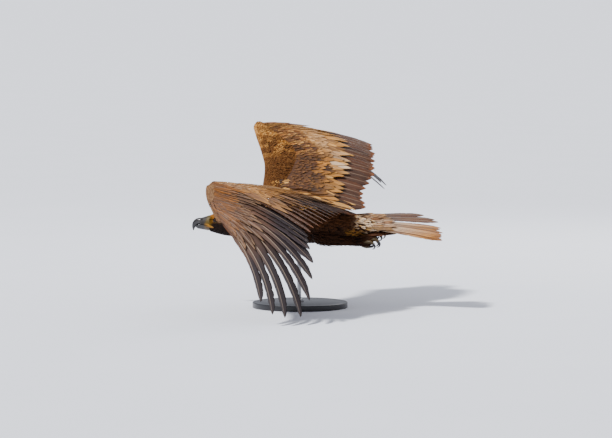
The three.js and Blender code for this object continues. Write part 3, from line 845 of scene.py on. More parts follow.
SMALL_ROWS = np.array([0.0, 0.22, 0.5, 0.76, 0.93, 1.0])
SMALL_COLUMNS = np.array([-1.0, 0.0, 1.0])
GIRTH = np.linspace(0, TURN, 33)
COVERT_ROWS = 1 - (1 - np.linspace(0, 1, 12)) ** 1.25
COVERT_COLUMNS = np.array([-1.0, -0.62, -0.1, 0.0, 0.1, 0.62, 1.0])
FLIGHT_ROWS = 1 - (1 - np.linspace(0, 1, 44)) ** 1.15
FLIGHT_COLUMNS = np.array([-1.0, -0.8, -0.5, -0.08, 0.0, 0.08, 0.5, 0.8, 1.0])
LEAN = 0.16


def shaft_path(root: Array, tip: Array, up: Array, sweep: Array, u: Array, arch: float) -> Array:
    """Give points along shafts that arch upwards and sweep backwards.

    Args:
        root: Root of each shaft.
        tip: Tip of each shaft.
        up: Which way each vane faces.
        sweep: How far each bows backwards, as a share of its length.
        u: Places along the shafts, as feathers x rows.
        arch: How far they bow upwards, as a share of their length.

    Returns:
        Points as feathers x rows x 3.
    """
    along = tip - root
    side = unit(np.cross(along, up))
    bow = np.linalg.norm(along, axis=-1)[:, None] * 4 * u * (1 - u)
    out = root[:, None] + along[:, None] * u[..., None]
    out = out + up[:, None] * (arch * bow)[..., None]
    return out - side[:, None] * (np.asarray(sweep)[:, None] * bow)[..., None]


# What the bird's plumage is coloured like


def pigment(red: int, green: int, blue: int) -> Array:
    """Give a dataclass field that holds one colour."""
    return field(default_factory=lambda: paint(red, green, blue))


@dataclass(frozen=True)
class Plumage:
    """The bird's colours, as linear colour values."""

    umber: Array = pigment(56, 32, 16)
    black_brown: Array = pigment(26, 12, 5)
    cheek: Array = pigment(24, 13, 8)
    tan: Array = pigment(184, 110, 52)
    gold: Array = pigment(216, 152, 88)
    tawny: Array = pigment(172, 110, 60)
    bark: Array = pigment(104, 62, 34)
    buff: Array = pigment(238, 186, 124)
    cream: Array = pigment(242, 218, 190)
    chocolate: Array = pigment(76, 46, 30)
    rufous: Array = pigment(146, 86, 48)
    slate: Array = pigment(54, 43, 47)
    mauve: Array = pigment(112, 84, 70)
    olive: Array = pigment(106, 80, 20)
    shaft: Array = pigment(206, 184, 160)

    def body(self, points: Array, noise: Array) -> tuple[Array, Array]:
        """Give the small feathers' colours at places on trunk, neck and head.

        Args:
            points: Places in the bird's frame.
            noise: One random number from 0 to 1 for each.

        Returns:
            Linear colours of their grounds and of their edges.
        """
        x, z = points[:, 0], points[:, 2]
        hx, hy, hz = POSE.unlevel(points).T
        # Darker towards the belly: partly the plumage's own dark brown, partly painted shade on the
        # underside, in ground and edge alike.
        low = step(15, -45, z)
        flank = step(-122, -140, x) * step(-190, -172, x) * step(-60, -50, z) * step(-14, -24, z)
        flank = flank * (noise > 0.35)
        rump = step(-144, -180, x) * step(-28, -16, z) * (noise > 0.35)
        back = step(24, 44, z) * step(175, 120, x) * step(-250, -190, x)
        blotch = step(0.42, 0.58, 0.7 * blotches(points, FINE) + 0.3 * noise)
        nape = step(-150, -100, hx) * step(4, 18, hz + 0.12 * hx + 4)
        crown = step(-50, -20, hx) * step(11, 19, hz)
        face = step(-75, -35, hx)
        warm = np.clip(np.maximum(crown, nape * 0.8) * (0.75 + 0.5 * blotches(points, 16)), 0, 1)
        throat = step(-80, -20, hx) * step(-26, -32, hz) * (noise > 0.5)
        lore = step(26, 36, hx) * step(-12, -6, hz) * step(19, 14, hz) * step(8, 13, np.abs(hy))
        ground = layer(
            self.umber, (self.black_brown, np.clip(low * 0.85 + 0.4 * (noise - 0.4), 0, 1)),
            (self.olive, flank * 0.7), (self.buff, rump),
            (blend(self.tawny, self.black_brown, 0.9 * blotch), back), (self.cheek, face),
            (self.tan, warm * (0.6 + 0.4 * noise)), (self.olive, lore * 0.9))
        edge = layer(
            self.bark, (self.umber, np.clip(0.5 + 0.5 * low, 0, 1)), (self.gold, flank * 0.3),
            (self.cream, rump), (blend(self.buff, self.bark, blotch), back),
            (blend(self.cheek, self.umber, 0.45 * noise), face),
            (self.gold, warm), (self.bark, throat), (self.olive, lore * 0.9))
        tone = (0.78 + 0.44 * noise)[:, None]
        return ground * tone, edge * tone

    def limb(self, points: Array, top: Array, noise: Array, warm: float) -> tuple[Array, Array]:
        """Give the small coverts' colours on a wing's arm and hand.

        Args:
            points: Places in the bird's frame.
            top: 1 on the upper side and 0 on the lower.
            noise: One random number from 0 to 1 for each.
            warm: Painted light: 1 gives a wing the tawny colours it shows in warm sunlight, 0 the greyer ones
                it shows in other light; both wings' own plumage is alike.

        Returns:
            Linear colours of their grounds and of their edges.
        """
        out = np.abs(points[:, 1])
        wild = (noise * 7.3) % 1
        patchy = blotches(points, BROAD)
        # Darker towards the body: painted shade near the wing's root.
        near = step(230, 110, out) * warm
        dark = np.clip(near * 1.3 + warm * mix(0.9, 0.45, step(200, 300, out)) * step(0.4, 0.7, patchy), 0, 1)
        hand = step(255, 318, out) * (1 - warm)
        ground = layer(
            self.bark, (self.tawny, np.clip(1.5 * wild - 0.4 * warm, 0, 1)), (self.gold, 0.5 * (1 - warm)),
            (self.mauve, hand), (self.umber, dark * (0.6 + 0.4 * wild)))
        edge = layer(
            self.tawny, (self.gold, wild), (self.buff, np.clip(1.3 * noise - 0.1, 0, 1)),
            (self.cream, 0.5 * (1 - warm)), (self.mauve, hand), (self.bark, dark * 0.85))
        tone = (0.76 + 0.44 * noise)[:, None]
        return blend(self.umber, ground, top) * tone, blend(self.bark, edge, top) * tone

    def leg(self, noise: Array) -> tuple[Array, Array]:
        """Give the colours of the leg's feathers, from one random number for each, dark brown deepened as
        painted shade under the body.
        """
        # Painted shade: the leg feathers kept darker than their own colour.
        ground = blend(self.black_brown, self.umber, noise * 0.7)
        return ground, blend(ground, self.bark, 0.25)


PLUMAGE = Plumage()


# Finishes


class Nodes:
    """A small hand for wiring a node tree."""

    def __init__(self, tree: bpy.types.NodeTree) -> None:
        """Keep the tree."""
        self.tree = tree

    def fill(self, node: bpy.types.Node, inputs: dict) -> None:
        """Link sockets into a node's inputs, or set them to plain values.

        Args:
            node: The node.
            inputs: A socket or a value for the name or number of each input.
        """
        for key, value in inputs.items():
            if isinstance(value, Socket):
                self.tree.links.new(value, node.inputs[key])
            else:
                node.inputs[key].default_value = value

    def add(self, kind: str, inputs: dict | None = None, **settings: object) -> bpy.types.Node:
        """Add a node, set its properties and fill its inputs.

        Args:
            kind: The node's type.
            inputs: A socket or a value for the name or number of each input.
            settings: Property values.

        Returns:
            The node.
        """
        node = self.tree.nodes.new(kind)
        for key, value in settings.items():
            setattr(node, key, value)
        self.fill(node, inputs or {})
        return node

    def use(self, name: str, inputs: dict) -> bpy.types.NodeOutputs:
        """Add a node for a named group, fill its inputs and give its outputs."""
        return self.add("ShaderNodeGroup", inputs, node_tree=bpy.data.node_groups[name]).outputs

    def maths(self, operation: str, first: object, second: object = 0.0) -> Socket:
        """Combine two numbers or sockets by a maths operation."""
        return self.add("ShaderNodeMath", {0: first, 1: second}, operation=operation).outputs[0]

    def times(self, first: object, second: object) -> Socket:
        """Multiply two numbers or sockets."""
        return self.maths("MULTIPLY", first, second)

    def plus(self, first: object, second: object) -> Socket:
        """Add two numbers or sockets."""
        return self.maths("ADD", first, second)

    def minus(self, first: object, second: object) -> Socket:
        """Take the second number or socket from the first."""
        return self.maths("SUBTRACT", first, second)

    def tint(self, share: object, first: object, second: object) -> Socket:
        """Mix two colours by a share."""
        return self.add("ShaderNodeMix", {0: share, 6: first, 7: second}, data_type="RGBA",
                        clamp_result=True).outputs[2]


def group(name: str, inputs: dict[str, float | None], outputs: Sequence[str]
          ) -> tuple[Nodes, bpy.types.NodeOutputs, bpy.types.Node]:
    """Start a shader node group with named sockets.

    Args:
        name: The group's name.
        inputs: Name and default of each input, where None stands for a vector.
        outputs: Name of each output.

    Returns:
        The wiring hand of its tree, the sockets of its input node and its output node.
    """
    tree = bpy.data.node_groups.new(name, "ShaderNodeTree")
    for label, default in inputs.items():
        kind = "NodeSocketVector" if default is None else "NodeSocketFloat"
        socket = tree.interface.new_socket(label, in_out="INPUT", socket_type=kind)
        if default is not None:
            socket.default_value = default
    for label in outputs:
        tree.interface.new_socket(label, in_out="OUTPUT", socket_type="NodeSocketFloat")
    hand = Nodes(tree)
    return hand, hand.add("NodeGroupInput").outputs, hand.add("NodeGroupOutput")


def barb_group() -> None:
    """Build the group that draws barbs running out from the shaft, with streaks among them."""
    hand, source, sink = group("Barbs", {"Vane": None, "Barbs": 60.0, "Slant": 8.0, "Streak": 0.3},
                               ("Tone", "Height"))
    split = hand.add("ShaderNodeSeparateXYZ", {0: source["Vane"]}).outputs
    number = hand.maths("FLOOR", split[0])
    across = hand.maths("DIVIDE", hand.minus(hand.minus(split[0], number), 0.5), HALF_VANE)
    out = hand.maths("ABSOLUTE", across)
    phase = hand.minus(hand.times(split[1], source["Barbs"]), hand.times(out, source["Slant"]))
    wave = hand.maths("SINE", hand.times(phase, BARB_WAVE))
    spot = hand.add("ShaderNodeCombineXYZ", {0: hand.times(phase, 0.35), 1: hand.times(out, 0.6),
                                             2: hand.times(number, 3.7)}).outputs[0]
    noise = hand.add("ShaderNodeTexNoise", {"Vector": spot, "Scale": 1.0, "Detail": 3.0}).outputs[0]
    streak = hand.times(hand.minus(noise, 0.5), source["Streak"])
    tone = hand.plus(hand.plus(1.0, hand.times(wave, 0.07)), hand.times(streak, 2.0))
    hand.fill(sink, {"Tone": tone, "Height": hand.plus(hand.times(wave, 0.5), noise)})


def mottle_group() -> None:
    """Build the group that varies a colour softly over the surface."""
    hand, source, sink = group("Mottle", {"Place": None, "Scale": 40.0, "Depth": 0.3}, ("Tone", "Fine"))
    broad, fine = (
        hand.add("ShaderNodeTexNoise", {"Vector": source["Place"], "Scale": scale, "Detail": detail,
                                        "Roughness": 0.6})
        for scale, detail in ((source["Scale"], 4.0), (hand.times(source["Scale"], 9.0), 3.0)))
    swing = hand.times(hand.minus(broad.outputs[0], 0.5), source["Depth"])
    hand.fill(sink, {"Tone": hand.plus(1.0, hand.times(swing, 2.0)), "Fine": fine.outputs[0]})


@dataclass(frozen=True)
class Finish:
    """A finish that reads each point's own colour and adds grain over it.

    Attributes:
        name: The material's name.
        roughness: How dull the surface is.
        barbs: Barbs along a feather, or 0 for skin, horn and wood.
        slant: How far the barbs slant forwards.
        streak: Depth of the streaks among the barbs.
        mottle: Depth of the soft variation.
        scale: Scale of that variation over a metre.
        bump: Strength of the relief.
        coat: Weight of a clear wet coat.
        metal: 1 for metal.
        specular: Strength of the plain reflection.
    """

    name: str
    roughness: float = 0.75
    barbs: float = 0.0
    slant: float = 8.0
    streak: float = 0.25
    mottle: float = 0.2
    scale: float = 30.0
    bump: float = 0.25
    coat: float = 0.0
    metal: float = 0.0
    specular: float = 0.35

    def make(self) -> Material:
        """Build the material.

        Returns:
            The material, which reads the Plume colour and scales it by the grain.
        """
        material = bpy.data.materials.new(self.name)
        material.use_nodes = True
        hand = Nodes(material.node_tree)
        place = hand.add("ShaderNodeTexCoord").outputs["Object"]
        mottle = hand.use("Mottle", {"Place": place, "Scale": self.scale, "Depth": self.mottle})
        tone, height = mottle["Tone"], mottle["Fine"]
        if self.barbs:
            vane = hand.add("ShaderNodeUVMap", uv_map="Vane").outputs[0]
            barbs = hand.use("Barbs", {"Vane": vane, "Barbs": self.barbs, "Slant": self.slant,
                                       "Streak": self.streak})
            tone = hand.times(tone, barbs["Tone"])
            height = hand.plus(barbs["Height"], hand.times(height, 0.3))
        plume = hand.add("ShaderNodeAttribute", attribute_name="Plume").outputs["Color"]
        scaled = hand.add("ShaderNodeVectorMath", {0: plume, "Scale": tone}, operation="SCALE")
        bump = hand.add("ShaderNodeBump", {"Strength": self.bump, "Distance": RELIEF, "Height": height})
        hand.fill(hand.tree.nodes["Principled BSDF"], {
            "Base Color": scaled.outputs[0], "Normal": bump.outputs[0], "Roughness": self.roughness,
            "Metallic": self.metal, "Coat Weight": self.coat, "Coat Roughness": COAT_ROUGHNESS,
            "Specular IOR Level": self.specular})
        return material


def finished(name: str, roughness: float, mottle: float, **settings: float) -> Material:
    """Give a dataclass field that makes one finish.

    Args:
        name: The material's name.
        roughness: How dull the surface is.
        mottle: Depth of the soft variation.
        settings: The finish's other values.

    Returns:
        The field.
    """
    return field(default_factory=Finish(name, roughness=roughness, mottle=mottle, **settings).make)


@dataclass
class Finishes:
    """All the finishes, made once, after the groups that they share."""

    flight: Material = finished("flight_feather", 0.62, 0.12, barbs=150, slant=16, streak=0.3)
    covert: Material = finished("covert_feather", 0.72, 0.2, barbs=48, slant=7, streak=0.4)
    contour: Material = finished("contour_feather", 0.82, 0.25, barbs=16, slant=4, streak=0.5, specular=0.15)
    skin: Material = finished("feathered_skin", 0.9, 0.4, scale=60)
    horn: Material = finished("slate_horn", 0.3, 0.25, scale=90, bump=0.12, coat=0.25, specular=0.5)
    cere: Material = finished("waxy_cere", 0.5, 0.3, scale=140, bump=0.3, specular=0.25)
    lid: Material = finished("lid_skin", 0.75, 0.4, scale=260, bump=0.4, specular=0.15)
    eye: Material = finished("wet_eye", 0.08, 0.25, scale=500, bump=0.0, coat=0.2, specular=0.2)
    toe: Material = finished("scaled_toe", 0.5, 0.3, scale=160, bump=0.4, specular=0.45)
    claw: Material = finished("black_claw", 0.28, 0.3, scale=120, bump=0.1, coat=0.2, specular=0.5)
    base: Material = finished("lacquered_base", 0.36, 0.25, scale=14, bump=0.08, coat=0.15)
    rod: Material = finished("satin_steel", 0.3, 0.1, scale=40, bump=0.05, metal=1.0)


def dress(piece: Piece, nodes: Sequence[str], slot: str) -> None:
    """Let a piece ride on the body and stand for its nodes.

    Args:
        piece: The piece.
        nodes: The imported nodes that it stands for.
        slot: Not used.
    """
    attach(piece, "root")
    if nodes:
        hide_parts(*nodes)
    LOG.info("%s: %d points, stands for %s", piece.name, len(piece.data.vertices),
             ", ".join(nodes) or "nothing")


# Skin


def solid(name: str, shape: tuple[Array, Array], colour: Array, material: Material, nodes: Sequence[str],
          slot: str) -> None:
    """Make one smooth piece without a bake map.

    Args:
        name: The piece's name.
        shape: Its points in the bird's frame, and its faces.
        colour: One colour for all, or one for each point.
        material: Its finish.
        nodes: The nodes it stands for.
        slot: Its material slot.
    """
    surface = Surface(name)
    surface.add(*shape, colour)
    dress(surface.build(material, maps=False), nodes, slot)
@dataclass
class Skin:
    """One skin over trunk, neck, head, wing limbs and legs, under the coat.

    Attributes:
        forms: Each form with the coat's depth over it.
        voxel: Size of the cells that fuse the forms, in metres.
    """

    forms: Sequence[tuple[Form, float]]
    voxel: float = 0.0032

    def build(self, material: Material) -> Piece:
        """Fuse the forms into one closed skin and colour it as the coat over it, darkened as painted shade in
        the gaps between feathers.

        Args:
            material: Its finish.

        Returns:
            The skin.
        """
        raw = Surface("raw_skin")
        for form, depth in self.forms:
            raw.add(*tube(form.rings(56, 40, depth)), np.zeros(3))
        lump = raw.build(material, maps=False)
        fuse = lump.modifiers.new("fuse", "REMESH")
        fuse.mode = "VOXEL"
        fuse.voxel_size = self.voxel
        calm = lump.modifiers.new("calm", "SMOOTH")
        calm.factor, calm.iterations = 0.5, 3
        mesh = evaluated(lump, "skin")
        bird = POSE.to_bird(read_points(mesh))
        for name in [a.name for a in mesh.attributes if a.name == "Plume"]:
            mesh.attributes.remove(mesh.attributes[name])
        level = np.full(len(bird), 0.3)
        # The left wing greyer and the right tawny: painted light, as each wing's colours are painted for the
        # light on it.
        warm = np.where(bird[:, 1] > 0, 0.3, 1.0)
        limbs = PLUMAGE.limb(bird, np.ones(len(bird)), level, warm)[0]
        # Six tenths of the coat's colour: painted shade where the skin shows between feathers.
        tint_points(mesh, blend(PLUMAGE.body(bird, level)[0], limbs, step(70, 90, np.abs(bird[:, 1]))) * 0.6)
        mesh.polygons.foreach_set("use_smooth", np.ones(len(mesh.polygons), bool))
        mesh.materials.clear()
        mesh.materials.append(material)
        return put("skin", mesh)


# The small feathers of body, head, limbs and legs


@dataclass
class Down:
    """A batch of small feathers, darker at their roots as painted shade under the row above, and edged at
    their rims, as one piece.

    Attributes:
        name: The piece's name.
        feathers: The feathers.
        ground: The colour of each one's ground.
        edge: The colour of each one's rim.
        root_shade: How dark their roots are painted, as a share of their ground colour: painted shade under
            the row above.
    """

    name: str
    feathers: Feathers
    ground: Array
    edge: Array
    root_shade: float

    def tint(self, across: Array, along: Array, number: Array) -> Array:
        """Colour points on the feathers.

        Args:
            across: Places across the vanes, from -1 to 1.
            along: Places along the shafts, from 0 to 1.
            number: The feathers' numbers.

        Returns:
            Linear colours.
        """
        rim = np.clip(step(0.55, 1.0, along) + 0.7 * np.abs(across) * step(0.2, 0.7, along), 0, 1)
        mixed = blend(self.ground[number], self.edge[number], rim)
        # Roots darkened: painted shade under the row above.
        return mixed * mix(self.root_shade, 1, step(0.0, 0.6, along))[:, None]

    def build(self, bake: Array, rng: Random, material: Material) -> Piece:
        """Make the piece.

        Args:
            bake: Each feather's place on the bake map.
            rng: Source of the raggedness.
            material: The finish.

        Returns:
            The piece.
        """
        surface = Surface(self.name)
        self.feathers.build(surface, self.tint, bake, BAKE_DOT, rng)
        LOG.info("%s: %d feathers, %d triangles", self.name, len(bake), surface.triangles())
        return surface.build(material)
@dataclass
class Coat:
    """Small feathers set in staggered rows over one form.

    Attributes:
        name: The piece's name.
        form: What the feathers lie on.
        lengths: Gives each feather's length from its place along and round the form.
        start: Where along the form the rows begin.
        stop: Where they end.
        aspect: Length over width.
        depth: The coat's depth over the skin.
        chordwise: True where feathers run from the front edge to the rear, as on a limb.
        head_first: True where they run towards lower s, as on the body.
        outline: Their outline.
        tilt: How far the tips stand off the coat, as a share of the length.
        stray: How far they stray from the lie of the coat, in radians.
        outward: How far they lean towards higher s at a limb's front edge, in radians.
        root_shade: How dark their roots are painted, as a share of their ground colour: painted shade under
            the row above.
        seed: Seed of their variation.
    """

    name: str
    form: Form
    lengths: Callable[[Array, Array], Array]
    start: float = 0.0
    stop: float = 1.0
    aspect: float = 1.7
    depth: float = 4.0
    chordwise: bool = False
    head_first: bool = True
    outline: Outline = Outline.CONTOUR
    tilt: float = 0.1
    stray: float = 0.12
    outward: float = 1.5
    root_shade: float = 0.5
    seed: int = 1

    def heading(self, a: Array) -> Array:
        """Give the angle of each feather's run from the form's own direction of s.

        Args:
            a: Angles round the form.

        Returns:
            Angles of the run.
        """
        if not self.chordwise:
            return np.full(len(a), math.pi if self.head_first else 0.0)
        flank = np.where(np.sin(a) >= 0, 1, -1)
        back = np.minimum(a, TURN - a) / math.pi
        return flank * (math.pi / 2 - mix(self.outward, 0.15, step(0.0, 0.45, back)))

    def lay(self, s: Array, a: Array, length: Array, heading: Array) -> tuple[Array, Array, Array]:
        """Bend feathers along the form.

        Args:
            s: Roots along the form.
            a: Roots round it.
            length: Lengths in mm.
            heading: Angle of each feather's run from the direction of s.

        Returns:
            Points along each shaft, and the directions across and outwards at each.
        """
        n, rows = len(s), len(SMALL_ROWS)
        pace_s, pace_a = self.form.pace(s, a, ds=ALONG_STEP), self.form.pace(s, a, da=ROUND_STEP)
        u = SMALL_ROWS[None, :]
        places = s[:, None] + (np.cos(heading) * length / np.maximum(pace_s, 1))[:, None] * u
        angles = a[:, None] + (np.sin(heading) * length / np.maximum(pace_a, 4))[:, None] * u
        inside = np.clip(places, 0.006, 0.994)
        base, normal, along, _ = self.form.frame(inside.ravel(), angles.ravel(), self.depth + 1.0)
        base, normal, along = (v.reshape(n, rows, 3) for v in (base, normal, along))
        base = base + along * ((places - inside) * pace_s[:, None])[..., None]
        rise = (1.0 + self.depth) * np.minimum(1, u * 2.2) + length[:, None] * self.tilt * u * u
        spine = base + normal * rise[..., None]
        run = unit(np.gradient(spine, axis=1))
        across = unit(np.cross(run, normal))
        return spine, across, unit(np.cross(across, run))

    def seats(self, rng: Random) -> tuple[Array, Array]:
        """Give a staggered seat to every feather.

        Args:
            rng: Source of their variation.

        Returns:
            Places along the form and angles round it.
        """
        total = np.linalg.norm(np.diff(self.form.middle(np.linspace(0, 1, 40)), axis=0), axis=-1).sum()
        rows = list(self.files(rng, total) if self.chordwise else self.hoops(rng, total))
        s, a = (np.concatenate(part) for part in zip(*rows))
        return np.clip(s, 0, 1), a % TURN

    def girth(self, s: float) -> Array:
        """Give the lengths round the form at one place, from one of GIRTH's angles to the next."""
        return np.linalg.norm(np.diff(self.form.point(np.full(len(GIRTH), s), GIRTH), axis=0), axis=-1)

    def files(self, rng: Random, total: float) -> Iterator[tuple[Array, Array]]:
        """Give rows that run along a limb, from its front edge round both flanks.

        Args:
            rng: Source of their variation.
            total: The form's length in mm.

        Yields:
            Places along the form and angles round it, row by row.
        """
        reach = self.stop - self.start
        ends = np.linspace(self.start, self.stop, 40)
        half = self.girth((self.start + self.stop) / 2).sum() / 2
        odd = 0
        for flank in (1, -1):
            walk = 0.0
            while walk < half:
                a = flank * math.pi * walk / half
                length = float(np.mean(self.lengths(ends, np.full(40, a % TURN))))
                count = max(3, int(total * reach / (length / self.aspect * SEAT_STEP)))
                places = self.start + (np.arange(count) + 0.5 + 0.5 * odd) / count * reach
                yield (np.clip(places + rng.normal(0, 0.16, count) / count, 0, 1),
                       np.full(count, a) + rng.normal(0, 0.12, count) * length * 0.3 / half)
                walk += length * ROW_STEP
                odd = 1 - odd

    def hoops(self, rng: Random, total: float) -> Iterator[tuple[Array, Array]]:
        """Give rows that run round a form, from its start to its stop.

        Args:
            rng: Source of their variation.
            total: The form's length in mm.

        Yields:
            Places along the form and angles round it, row by row.
        """
        s = self.start
        odd = 0
        while s < self.stop:
            local = self.lengths(np.full(len(GIRTH), s), GIRTH)
            round_ = np.concatenate([[0], np.cumsum(self.girth(s))])
            pace = np.concatenate([[0], np.cumsum(np.diff(round_) / (local[1:] / self.aspect * SEAT_STEP))])
            count = max(6, int(pace[-1]))
            want = (np.arange(count) + 0.5 * odd + rng.normal(0, 0.16, count)) / count * pace[-1]
            low = float(local.min())
            yield (np.full(count, s) + rng.normal(0, 0.1, count) * low / total,
                   np.interp(want % pace[-1], pace, GIRTH))
            s += low * ROW_STEP / total
            odd = 1 - odd

    def build(self, material: Material, slot: str, keep: Callable[[Array, Array, Array], Array],
              colour: Callable[[Array, Array, Array], tuple[Array, Array]]) -> None:
        """Make the coat as one piece.

        Args:
            material: Its finish.
            slot: Its material slot.
            keep: Says which feathers stay, from their roots, places along and angles.
            colour: Gives ground and edge colours from roots, angles and random numbers.
        """
        rng = np.random.default_rng(self.seed)
        s, a = self.seats(rng)
        root = self.form.frame(s, a, self.depth + 1.0)[0]
        stay = keep(root, s, a)
        s, a, root = s[stay], a[stay], root[stay]
        length = self.lengths(s, a) * rng.uniform(0.8, 1.2, len(s))
        turn = self.heading(a) + rng.normal(0, self.stray, len(s))
        if self.chordwise:
            stay = s + np.cos(turn) * length / self.form.pace(s, a, ds=0.01) < 0.98
            s, a, root, length, turn = s[stay], a[stay], root[stay], length[stay], turn[stay]
        spine, across, facing = self.lay(s, a, length, turn)
        width = length / self.aspect * rng.uniform(0.85, 1.15, len(s))
        batch = Feathers(spine, across, facing, width, np.full(len(s), 0.5), self.outline, SMALL_ROWS,
                         SMALL_COLUMNS, blunt=0.5, camber=0.16, depth=np.clip(length * 0.02, 0.2, 0.5),
                         ragged=0.35)
        bake = np.stack([0.004 + 0.992 * s, 0.004 + 0.992 * a / TURN], -1)
        down = Down(self.name, batch, *colour(root, a, rng.random(len(s))), self.root_shade)
        dress(down.build(bake, rng, material), [], slot)


@dataclass(frozen=True)
class Patch:
    """Small feathers set straight on the fused skin round a joint.

    Attributes:
        name: The piece's name without its side.
        centre: Middle of the patch in the bird's frame, on the left.
        radii: How far it reaches along each axis.
        source: The point in front that its feathers fan out from.
        length: Their length.
        share: Share of the skin's points that carry one.
        aspect: Length over width.
        depth: The coat's depth there.
        tilt: How far the tips stand off the coat, as a share of the length.
    """

    name: str
    centre: tuple[float, float, float]
    radii: tuple[float, float, float]
    source: tuple[float, float, float]
    length: float
    share: float = 1.0
    aspect: float = 1.9
    depth: float = 4.0
    tilt: float = 0.05

    def build(self, side: int, skin: Piece, tree: BVHTree, material: Material, slot: str,
              colour: Callable[[Array, Array, Array], tuple[Array, Array]], seed: int) -> None:
        """Make the patch on one side, as one piece.

        Args:
            side: 1 on the left, -1 on the right.
            skin: The fused skin.
            tree: Its faces, sorted for search.
            material: The feathers' finish.
            slot: Its material slot.
            colour: Gives ground and edge colours from roots, angles and random numbers.
            seed: Seed of their variation.
        """
        rng = np.random.default_rng(seed)
        bird = POSE.to_bird(read_points(skin.data))
        flip = np.array([1, side, 1])
        gap = np.linalg.norm((bird * flip - np.array(self.centre)) / np.array(self.radii), axis=-1)
        root = bird[(gap < 1) & (rng.random(len(bird)) < self.share)]
        n, rows = len(root), len(SMALL_ROWS)
        length = self.length * rng.uniform(0.8, 1.2, n)
        run = unit(unit(root - np.array(self.source) * flip) + rng.normal(0, 0.14, (n, 3)))
        spine, facing = np.empty((n, rows, 3)), np.empty((n, rows, 3))
        turn = np.linalg.inv(POSE.axes())
        here = root
        for k, u in enumerate(SMALL_ROWS):
            found = [tree.find_nearest(Vector(p)) for p in POSE.place(here)]
            base = POSE.to_bird(np.array([f[0] for f in found]))
            normal = unit(np.array([f[1] for f in found]) @ turn / MM)
            rise = -1.0 + (1.0 + self.depth) * min(1, u * 2.2) + length * self.tilt * u * u
            spine[:, k], facing[:, k] = base + normal * rise[:, None], normal
            if k + 1 < rows:
                lie = unit(run - normal * (run * normal).sum(-1, keepdims=True))
                here = base + lie * (length * (SMALL_ROWS[k + 1] - u))[:, None]
        lie = unit(np.gradient(spine, axis=1))
        across = unit(np.cross(lie, facing))
        batch = Feathers(spine, across, unit(np.cross(across, lie)), length / self.aspect, np.full(n, 0.5),
                         Outline.CONTOUR, SMALL_ROWS, SMALL_COLUMNS, blunt=0.5, camber=0.2, depth=0.5,
                         ragged=0.3)
        spot = (root - root.min(0)) / np.ptp(root, axis=0).max()
        bake = np.stack([spot[:, 0] * 0.49 + np.where(facing[:, 0, 2] > 0, 0.005, 0.505), spot[:, 1]], -1)
        # The last value darkens the roots as painted shade under the row above.
        down = Down(f"{self.name}_{'left' if side > 0 else 'right'}", batch,
                    *colour(root, np.full(n, math.pi / 2), rng.random(n)), 0.55)
        dress(down.build(bake, rng, material), [], slot)


# Wings and tail


class Pattern(Enum):
    """Colourings of the large feathers, each named as its method of Vanes."""

    SECONDARY = "secondary"
    PRIMARY = "primary"
    GREATER = "greater"
    MEDIAN = "median"
    LESSER = "lesser"
    PRIMARY_COVERT = "primary_covert"
    HAND_LESSER = "hand_lesser"
    TAIL = "tail"
    TAIL_COVERT = "tail_covert"
    SCAPULAR = "scapular"
    UNDER = "under"


@dataclass(frozen=True)
class Tier:
    """A row of large feathers from the body outwards.

    Attributes:
        count: How many.
        start: Where along the flight feathers' shafts they begin, at the body and at the far end.
        stop: Where they end.
        lift: How far their roots and tips ride over those shafts, in mm.
        width: Their width at the body and at the far end.
        pattern: Their colouring.
        fore: Share of the width before the shaft, at the body and at the far end.
        outline: Their outline.
        seats: Where in the row each one stands, from 0 to 1, if not evenly.
        stray: How far tips stray sideways, as a share of the length.
        uneven: How far lengths differ.
    """

    count: int
    start: tuple[float, float]
    stop: float
    lift: tuple[float, float]
    width: tuple[float, float]
    pattern: Pattern
    fore: tuple[float, float] = (0.45, 0.45)
    outline: Outline = Outline.COVERT
    seats: tuple[float, ...] = ()
    stray: float = 0.03
    uneven: float = 0.16

    @property
    def large(self) -> bool:
        """True for whole flight feathers."""
        return self.stop >= 1 and self.lift == (0, 0)

    @property
    def small(self) -> bool:
        """True for coverts of the upper side, which are set less evenly."""
        return self.stop < 0.6 and self.lift[0] > 0


@dataclass(frozen=True)
class Shafts:
    """The lines that a fan of feathers follows, from the body outwards.

    Attributes:
        roots: Where the flight feathers' shafts begin.
        tips: Where they end.
        ups: Which way their vanes face.
        sweep: How far they bow backwards, as a share of their length.
        joint: Where in the row the wrist begins and where it is reached.
        swell: How far coverts ride higher at the wrist, as a share.
        roll: How far they turn flat there, in radians.
        centred: True where the vanes lean outwards from the row's middle.
    """

    roots: tuple
    tips: tuple
    ups: tuple
    sweep: tuple = (0, 0)
    joint: tuple[float, float] = (0, 1)
    swell: float = 0.0
    roll: float = 0.0
    centred: bool = False


